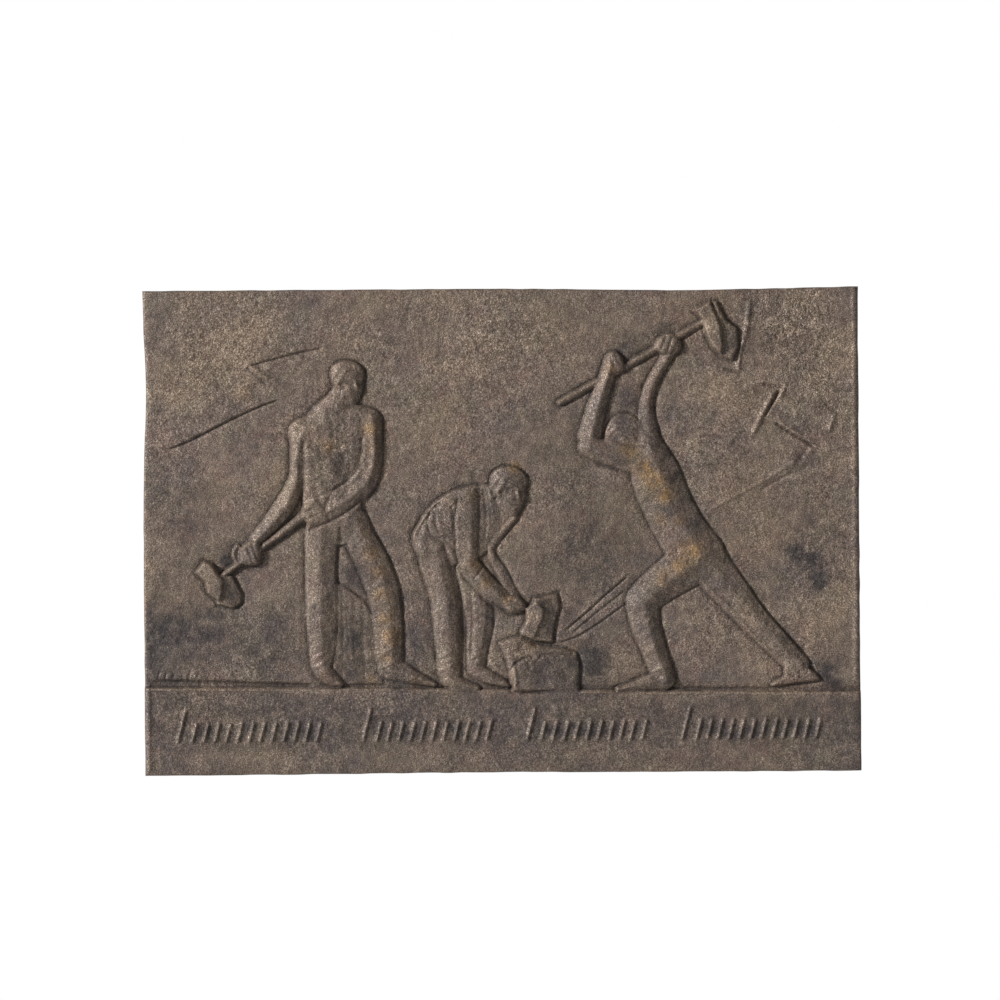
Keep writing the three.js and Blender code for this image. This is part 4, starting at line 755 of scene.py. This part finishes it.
# spots of each finish, some of them painted light and shade: x, z, size and amount
spotsOfFinishAndLight = {
    "ochre": [(48.5, 20, 3.4, 0.9), (51, 16, 3.6, 1.0), (55, 11.6, 3.0, 0.9), (59, 3, 2.4, 0.5),
              (54, 3.6, 2.2, 0.4), (63.5, -7, 3.8, 0.95), (60, -11, 3.6, 0.9), (54, -16, 3.2, 0.45),
              (43, 26.5, 3.4, 0.6), (-46, 0, 2.6, 0.35), (-43.6, -7, 3.0, 0.55), (-41.6, -14, 3.2, 0.6),
              (-40, -21, 3.2, 0.55), (-39.6, -28, 3.0, 0.75), (-37, -35, 3.0, 0.95), (-38, -42, 2.4, 0.5),
              (-43.6, 34.6, 2.6, 0.7), (-43.4, 28, 2.2, 0.3), (-58, 28.6, 2.4, 0.5), (4.6, 21.4, 2.0, 0.7),
              (-9.4, 11, 2.2, 0.45), (-8.6, -12, 2.4, 0.6), (-5, -17, 2.2, 0.5), (2, -22.5, 2.4, 0.6),
              (24.4, -40.6, 1.8, 0.5), (10, -38, 3.0, 0.3), (37, 54, 2.2, 0.45), (-59, -49, 2.4, 0.4),
              (-29, -51, 2.4, 0.45), (-85, 47, 3.0, 0.3), (-44, -49.6, 2.6, 0.35)],
    # soot: dirt and dark stains, and painted shade along the shaded right flanks, between the legs and on
    # the sides turned away from the light
    "sootAndShade": [(-8, -27, 5, 0.45), (-8.6, -37, 4, 0.4), (70, 4, 2.6, 0.4), (73.6, -3, 2.6, 0.4),
             (77, -10.4, 2.6, 0.4), (81.8, -17.8, 2.6, 0.4), (86.4, -24.4, 2.6, 0.4),
             (90.8, -30.4, 2.6, 0.45), (95.4, -35.6, 2.8, 0.6), (99.8, -40.4, 2.8, 0.8),
             (103.8, -45, 3, 1.0), (-106, 8, 12, 0.42), (24, 14, 12, 0.35), (90, 65, 3.4, 0.7),
             (95.5, 70, 2.6, 0.5), (86, 74, 3, 0.4), (-114, -34, 16, 1.0), (-98, -32, 13, 0.85),
             (-78, -40, 14, 0.75), (-108, -50, 16, 0.8), (-100, 2, 9, 0.35), (-50, -14, 6, 1.0),
             (-50, -36, 8, 1.0), (-49, -46, 6, 0.9), (-29, -38, 7, 0.8), (-28, -26, 5, 0.4),
             (30, -44, 5.2, 1.9), (27, -50, 4, 1.4), (30, -6, 16, 0.7), (38, 4, 8, 0.5), (24, -28, 11, 0.5),
             (20, 28, 12, 0.3), (-5, 6, 3.4, 0.8), (-4, -2, 3, 0.5), (-13, -34, 4, 0.6), (43, 60, 4, 0.9),
             (56, 67, 4, 0.6), (44, 44, 5, 0.7), (41, 36, 4, 0.45), (84, 72, 5, 0.4), (77.6, 63, 2.6, 0.5),
             (99, -8.4, 3.6, 1.9), (103.5, -10.6, 3.2, 1.8), (106, -17.6, 3.0, 1.8),
             (108.6, -48.6, 3.6, 1.5), (111, -51.4, 3, 1.2), (104, 24, 4, 0.6), (106, 2, 8, 0.45),
             (-55, 24, 5, 0.7), (-50, 26, 4, 0.5), (-92.6, -9, 2.6, 1.7), (-90, -20, 3, 0.7),
             (-93, 44, 6, 0.2), (-116, 14, 7, 0.5), (55, 6.6, 3, 0.6), (98, 60, 8, 0.35),
             (-12.6, 17, 4, 0.5), (71, -40, 8, 0.15), (-86, -13, 4, 0.5), (-69, 3, 3, 0.4),
             (17, -27, 2.4, 0.75), (16.4, -33, 2.4, 0.75), (14, -47.6, 6, 0.75), (22, -47, 5, 0.8),
             (55.4, 26.6, 2.6, 0.7), (59, 18.6, 2.8, 0.75), (62.4, 10.6, 2.8, 0.75), (66.6, 2.4, 2.8, 0.7),
             (52.6, 33, 2.4, 0.5), (30, -54, 10, 0.7), (60, -54, 8, 0.5), (-30, -54, 8, 0.5),
             (110, -40, 5, 0.3)],
    # pale: lighter patches, and painted highlights on the lit faces of the raised hammer, the work and the
    # stone
    "paleAndLit": [(104, -28, 8, 0.5), (110, 4, 8, 0.45), (84, -28, 7, 0.8), (96, 62, 8, 0.7), (104, 76, 9, 0.5),
             (90, 56, 6, 0.4), (108, 50, 7, 0.4), (70.4, 69, 3.2, 1.0), (60, 65, 2, 0.5), (30, 31, 3, 0.5),
             (36, 51, 2.4, 0.4), (11, -29, 3, 1.0), (-97, -17, 3, 0.5), (-71, 12, 3, 0.6),
             (-63, -20, 3, 0.4), (-82, 68, 6, 0.9), (-88, 58, 8, 0.6), (-110, 48, 12, 0.5),
             (-106, 76, 6, 0.5), (-12, 66, 11, 0.5), (14, 68, 7, 0.4), (-20, 38, 9, 0.3), (-22, 56, 8, 0.3),
             (72, 46, 8, 0.9), (66, 30, 6, 0.7), (72, 14, 5, 0.5), (68, -32, 8, 0.8), (90, -2, 9, 0.4),
             (112, -26, 8, 0.6), (114, 60, 9, 0.5), (96, 44, 6, 0.3), (90, 26, 6, 0.35), (-76, 18, 6, 0.3),
             (5, -39, 4, 0.9), (3.6, -48, 3, 0.8), (-67, 36, 4, 0.9), (-16, 9, 5, 0.5), (84, -44, 8, 0.4),
             (-62, -10, 4, 0.3), (116, 20, 7, 0.5), (-95, 25, 9, 0.25), (30, 52, 5, 0.2),
             (-100, -52.6, 4, 0.8), (-84, -51.6, 4, 0.5)],
    "rough": [(-98, 60, 22, 0.6), (-112, 30, 14, 0.3), (-80, 74, 12, 0.5), (-5, 66, 20, 0.6),
              (104, 50, 18, 1.2), (96, 72, 14, 1.5), (112, 8, 12, 0.6), (104, -14, 12, 0.6),
              (70, -30, 10, 0.4), (86, -30, 12, 0.6), (-56, 26, 12, 0.8), (-66, 34, 8, 0.6),
              (-18, 8, 10, 0.8), (8, -40, 8, 0.9), (-40, -50, 12, 0.6), (2, 16, 6, 0.5), (-40, 62, 12, 0.3),
              (62, 24, 10, 0.5), (100, -46, 12, 0.7), (-95, -52, 16, 0.6)],
}


def patches(spots, x, z):
    # soft round spots, and the stronger one where two meet
    total = np.zeros(x.shape)
    for sx, sz, size, amount in spots:
        total = np.maximum(total, amount * bell(np.hypot(x - sx, z - sz) / size))
    return total


grimeAndShade = {
    # how far the heights are blurred, in steps of the raster, and the depths at which the two masks of dark
    # patina and painted shade in hollows and recesses are full
    "near": 1.1, "far": 8, "hollowDepth": 0.26, "recessDepth": 2.0,
    # soot around the strokes and over the ledge, with more of it above the foot of the strokes
    "strokeBlur": 4.5, "strokeGain": 3.2, "ledge": 0.28, "ledgeMore": 0.26, "strokeFoot": -72.5,
    "sootAndShadeShare": 0.95,
    # the painted shade line around every figure: where it runs, its reach, and how uneven it is
    "lineAt": 0.25, "lineReach": 0.42, "line": 0.75, "lineVaries": 0.6, "lineSize": 4,
}
field, i, j = raster(top, x, z)
close, wide = softened(field, grimeAndShade["near"]), softened(field, grimeAndShade["far"])
# dark patina and painted shade in the hollows at the foot of every step, and in wider recesses
hollow = np.clip((close - field) / grimeAndShade["hollowDepth"], -1, 1)[i, j]
recess = np.clip((wide - field) / grimeAndShade["recessDepth"], -1, 1)[i, j]
strokes = np.abs(strokeHeights(marks, x, z)) > 0.15
halo, _, _ = raster(strokes.astype(float), x, z)
halo = np.clip(softened(halo, grimeAndShade["strokeBlur"]) * grimeAndShade["strokeGain"], 0, 1)[i, j]
ledgeSoot = grimeAndShade["ledge"] + grimeAndShade["ledgeMore"] * ease(0.5 + (z - grimeAndShade["strokeFoot"]) / 4)
halo = np.maximum(halo, ease(0.5 - (aboveLedge(x, z) + 2) / 3) * ledgeSoot)
# painted shade: a dark line in the groove around every figure
outline = bell((gap - grimeAndShade["lineAt"]) / grimeAndShade["lineReach"])
outline *= grimeAndShade["line"] + grimeAndShade["lineVaries"] * unevenness(x, z, grimeAndShade["lineSize"], 41)
masks = {"hollow": hollow, "outline": outline, "recess": recess, "raised": ease(0.5 - gap / 0.8),
         **{name: patches(spots, x, z) for name, spots in spotsOfFinishAndLight.items()}}
masks["sootAndShade"] = np.maximum(masks["sootAndShade"], halo * grimeAndShade["sootAndShadeShare"])
for name, values in masks.items():
    stored = mesh.attributes.new(name, "FLOAT", "POINT")
    stored.data.foreach_set("value", np.where(front, values, 0).astype(np.float32))
print("masks made")


def node(tree, kind, **inputs):
    # a new node, its inputs given by name, or by place as n0, n1 and n2
    made = tree.nodes.new(kind)
    for name, value in inputs.items():
        key = name.replace("_", " ")
        target = made.inputs[key] if key in made.inputs else made.inputs[int(name[1:])]
        if isinstance(value, bpy.types.NodeSocket):
            tree.links.new(value, target)
        else:
            target.default_value = value
    return made


def maths(tree, operation, a, b=0.0, plus=0.0, clamp=False):
    made = node(tree, "ShaderNodeMath", n0=a, n1=b, n2=plus)
    made.operation = operation
    made.use_clamp = clamp
    return made.outputs[0]


def mixed(tree, share, a, b, kind="MIX"):
    made = tree.nodes.new("ShaderNodeMix")
    made.data_type = "RGBA"
    made.blend_type = kind
    for socket, value in ((made.inputs[0], share), (made.inputs[6], a), (made.inputs[7], b)):
        if isinstance(value, bpy.types.NodeSocket):
            tree.links.new(value, socket)
        else:
            socket.default_value = value
    return made.outputs[2]


def spread(tree, value, low, high, toLow=0.0, toHigh=1.0):
    # stretches the values from low to high over a new range
    return node(tree, "ShaderNodeMapRange", Value=value, From_Min=low, From_Max=high, To_Min=toLow,
                To_Max=toHigh).outputs[0]


def noise(tree, place, size, detail, rough):
    # noise whose features are about `size` millimetres across
    return node(tree, "ShaderNodeTexNoise", Vector=place, Scale=1 / (size * mm), Detail=detail,
                Roughness=rough).outputs["Fac"]


def mask(tree, name):
    # one of the masks kept on the mesh
    made = tree.nodes.new("ShaderNodeAttribute")
    made.attribute_name = name
    return made.outputs["Fac"]


def tint(r, g, b):
    # a screen colour from 0 to 255 as linear light
    return (*[(v / 255) ** 2.2 for v in (r, g, b)], 1)


bronzeLook = {
    # the pale colour is both a lighter patina and the colour of painted highlights
    "brown": tint(110, 95, 82), "paleAndLit": tint(131, 113, 96), "dusk": tint(93, 82, 78),
    "ochre": tint(128, 97, 54), "rust": tint(116, 93, 84), "olive": tint(104, 97, 80),
    # the soot colour also paints shade in hollows, recesses and along the figures' edges; the smoke colour
    # paints soot and shade from the spots
    "sootAndShade": tint(44, 38, 35), "smokeAndShade": tint(48, 45, 46),
    "metallic": 0.35, "roughness": 0.6, "contrast": 1.02,
    # sizes of the patches and grains in millimetres, and the depth of the grains
    "cloud": 26, "stain": 9, "blotch": 4, "pebble": 1.5, "grain": 0.36, "grainDepth": 0.13,
    # how strongly each colour shows at most
    "rustShare": 0.55, "oliveShare": 0.5, "blotchShare": 0.4, "paleAndLitShare": 0.9, "ochreShare": 0.9,
    "sootAndShadeShare": 0.82, "hollowShare": 0.45, "recessShare": 0.15, "outlineShare": 0.55, "crestShare": 0.45,
    "raisedShare": 0.16,
    # grit and painted glints: how far the pebbles and blotches darken and lighten, and how much of it each
    # channel takes, so that bright grains come out greyer
    "pebbleGrit": 0.24, "blotchGrit": 0.15, "redGrit": 0.82, "greenGrit": 0.9, "blueGrit": 0.97,
    # how much coarser and lumpier rough places are, and the heights of pebbles and blotches over the grain's
    "coarser": 0.32, "lumpier": 0.4, "pebbleBump": 2.1, "blotchBump": 3.4,
    # a grain's dark foot is duller and its bright top smoother
    "dullFoot": 0.12, "brightTop": 0.14,
}

bronze = bpy.data.materials.new("castBronze")
bronze.use_nodes = True
tree = bronze.node_tree
shader = tree.nodes["Principled BSDF"]
place = tree.nodes.new("ShaderNodeTexCoord").outputs["Object"]

clouds = noise(tree, place, bronzeLook["cloud"], detail=5, rough=0.62)
blotches = noise(tree, place, bronzeLook["blotch"], detail=4, rough=0.65)
stains = noise(tree, place, bronzeLook["stain"], detail=4, rough=0.7)
pebbles = noise(tree, place, bronzeLook["pebble"], detail=2, rough=0.6)
specks = noise(tree, place, bronzeLook["grain"], detail=1.6, rough=0.65)
coarse = maths(tree, "MULTIPLY_ADD", mask(tree, "rough"), bronzeLook["coarser"], plus=1.0)
lumpy = maths(tree, "MULTIPLY_ADD", mask(tree, "rough"), bronzeLook["lumpier"], plus=1.0)

# each colour comes in between two levels of a noise or of a mask
colour = mixed(tree, spread(tree, clouds, 0.36, 0.64), bronzeLook["dusk"], bronzeLook["brown"])
rusty = spread(tree, stains, 0.52, 0.7, 0, bronzeLook["rustShare"])
colour = mixed(tree, rusty, colour, bronzeLook["rust"])
olive = spread(tree, stains, 0.48, 0.3, 0, bronzeLook["oliveShare"])
colour = mixed(tree, olive, colour, bronzeLook["olive"])
paler = spread(tree, blotches, 0.4, 0.7, 0, bronzeLook["blotchShare"])
colour = mixed(tree, paler, colour, bronzeLook["paleAndLit"])
# lighter patches, partly painted highlights on lit faces
lit = maths(tree, "MULTIPLY", mask(tree, "paleAndLit"), spread(tree, blotches, 0.3, 0.55, 0.3, 1.0), clamp=True)
colour = mixed(tree, maths(tree, "MULTIPLY", lit, bronzeLook["paleAndLitShare"]), colour, bronzeLook["paleAndLit"])
rubbed = maths(tree, "MULTIPLY", mask(tree, "ochre"), spread(tree, blotches, 0.28, 0.58), clamp=True)
colour = mixed(tree, maths(tree, "MULTIPLY", rubbed, bronzeLook["ochreShare"]), colour, bronzeLook["ochre"])
# soot, and painted shade from the spots, with the soot around the strokes and over the ledge
sootedAndShaded = maths(tree, "MULTIPLY", mask(tree, "sootAndShade"), spread(tree, blotches, 0.68, 0.36, 0.5, 1.15),
              clamp=True)
colour = mixed(tree, maths(tree, "MULTIPLY", sootedAndShaded, bronzeLook["sootAndShadeShare"]), colour, bronzeLook["smokeAndShade"])
# hollows and recesses darkened: patina, and painted shade
hollowPatinaAndShade = maths(tree, "ADD", spread(tree, mask(tree, "hollow"), 0.25, 1.0, 0, bronzeLook["hollowShare"]),
               spread(tree, mask(tree, "recess"), 0.2, 0.9, 0, bronzeLook["recessShare"]), clamp=True)
colour = mixed(tree, hollowPatinaAndShade, colour, bronzeLook["sootAndShade"])
# painted shade along the groove around every figure
edged = maths(tree, "MULTIPLY", mask(tree, "outline"), bronzeLook["outlineShare"], clamp=True)
colour = mixed(tree, edged, colour, bronzeLook["sootAndShade"])
# crests and edges lighter: rubbed metal, and a painted highlight
crests = spread(tree, mask(tree, "hollow"), -0.3, -1.0, 0, bronzeLook["crestShare"])
colour = mixed(tree, crests, colour, bronzeLook["paleAndLit"])
raised = maths(tree, "MULTIPLY", mask(tree, "raised"), bronzeLook["raisedShare"])
colour = mixed(tree, raised, colour, bronzeLook["sootAndShade"])

# grit: grain of the cast, whose bright grains are also painted glints and so a little greyer than the dark
# ones
pebbly = spread(tree, pebbles, 0.3, 0.7, -bronzeLook["pebbleGrit"], bronzeLook["pebbleGrit"])
uneven = maths(tree, "ADD", maths(tree, "MULTIPLY", pebbly, lumpy),
               spread(tree, blotches, 0.3, 0.7, -bronzeLook["blotchGrit"], bronzeLook["blotchGrit"]))
gritAndGlints = maths(tree, "ADD", spread(tree, specks, 0.3, 0.7, -1, 1), uneven)
gritAndGlints = maths(tree, "MULTIPLY", maths(tree, "MULTIPLY", gritAndGlints, coarse), bronzeLook["contrast"])
shade = node(tree, "ShaderNodeCombineColor", **{
    channel: maths(tree, "EXPONENT", maths(tree, "MULTIPLY", gritAndGlints, share))
    for channel, share in (("Red", bronzeLook["redGrit"]), ("Green", bronzeLook["greenGrit"]),
                           ("Blue", bronzeLook["blueGrit"]))})
colour = mixed(tree, 1.0, colour, shade.outputs[0], kind="MULTIPLY")
tree.links.new(colour, shader.inputs["Base Color"])
shader.inputs["Metallic"].default_value = bronzeLook["metallic"]
dull = spread(tree, specks, 0.35, 0.68, bronzeLook["roughness"] + bronzeLook["dullFoot"],
              bronzeLook["roughness"] - bronzeLook["brightTop"])
tree.links.new(dull, shader.inputs["Roughness"])
deeper = maths(tree, "MULTIPLY", maths(tree, "MULTIPLY", pebbles, bronzeLook["pebbleBump"]), lumpy)
deeper = maths(tree, "ADD", deeper, maths(tree, "MULTIPLY", blotches, bronzeLook["blotchBump"]))
fine = maths(tree, "ADD", specks, deeper)
bump = node(tree, "ShaderNodeBump", Strength=1.0, Height=fine,
            Distance=maths(tree, "MULTIPLY", coarse, bronzeLook["grainDepth"] * mm))
tree.links.new(bump.outputs["Normal"], shader.inputs["Normal"])
mesh.materials.append(bronze)
print("bronze made")


studio = {
    "floorSize": 1.6, "floorHeight": -0.34, "floorGrey": 0.8, "floorRoughness": 0.9,
    "ambient": 0.25,
    # where each lamp stands, its size and its power
    "key": ((-3.0, -1.75, 1.15), 0.6, 196), "fill": ((0.5, -1.1, -0.1), 0.9, 0.8),
}
bpy.ops.mesh.primitive_plane_add(size=studio["floorSize"], location=(0, 0, studio["floorHeight"]))
floor = bpy.context.object
floor.name = "floor"
paint = bpy.data.materials.new("paleFloor")
paint.use_nodes = True
dry = paint.node_tree.nodes["Principled BSDF"]
dry.inputs["Base Color"].default_value = (*[studio["floorGrey"]] * 3, 1)
dry.inputs["Roughness"].default_value = studio["floorRoughness"]
floor.data.materials.append(paint)

for name in ("key", "fill"):
    at, size, power = studio[name]
    bpy.ops.object.light_add(type="AREA", location=at)
    lamp = bpy.context.object
    lamp.name = name + "Light"
    lamp.data.shape = "DISK"
    lamp.data.size = size
    lamp.data.energy = power
    lamp.rotation_euler = (-Vector(at)).to_track_quat("-Z", "Y").to_euler()

# the surroundings are seen white, and light the plaque only faintly
world = bpy.data.worlds.new("studio")
world.use_nodes = True
bpy.context.scene.world = world
tree = world.node_tree
backdrop = tree.nodes["Background"]
backdrop.inputs["Color"].default_value = (1, 1, 1, 1)
backdrop.inputs["Strength"].default_value = studio["ambient"]
white = tree.nodes.new("ShaderNodeBackground")
white.inputs["Color"].default_value = (1, 1, 1, 1)
seen = tree.nodes.new("ShaderNodeMixShader")
tree.links.new(tree.nodes.new("ShaderNodeLightPath").outputs["Is Camera Ray"], seen.inputs[0])
tree.links.new(backdrop.outputs[0], seen.inputs[1])
tree.links.new(white.outputs[0], seen.inputs[2])
tree.links.new(seen.outputs[0], tree.nodes["World Output"].inputs["Surface"])
bpy.context.scene.view_settings.view_transform = "Standard"

# "across" is the width that the camera takes in at the front of the relief
shot = {"distance": 1.5, "x": -0.00044, "z": 0.01035, "roll": 0.42, "across": 0.33496, "front": 0.006}
bpy.ops.object.camera_add(location=(shot["x"], -shot["distance"], shot["z"]))
camera = bpy.context.object
camera.rotation_euler = (math.pi / 2, 0, 0)
camera.rotation_euler.rotate_axis("Z", math.radians(-shot["roll"]))
camera.data.sensor_width = 36
camera.data.lens = camera.data.sensor_width * (shot["distance"] - shot["front"]) / shot["across"]
camera.data.clip_start = 0.01
bpy.context.scene.camera = camera

print("camera and lamps set, scene ready")
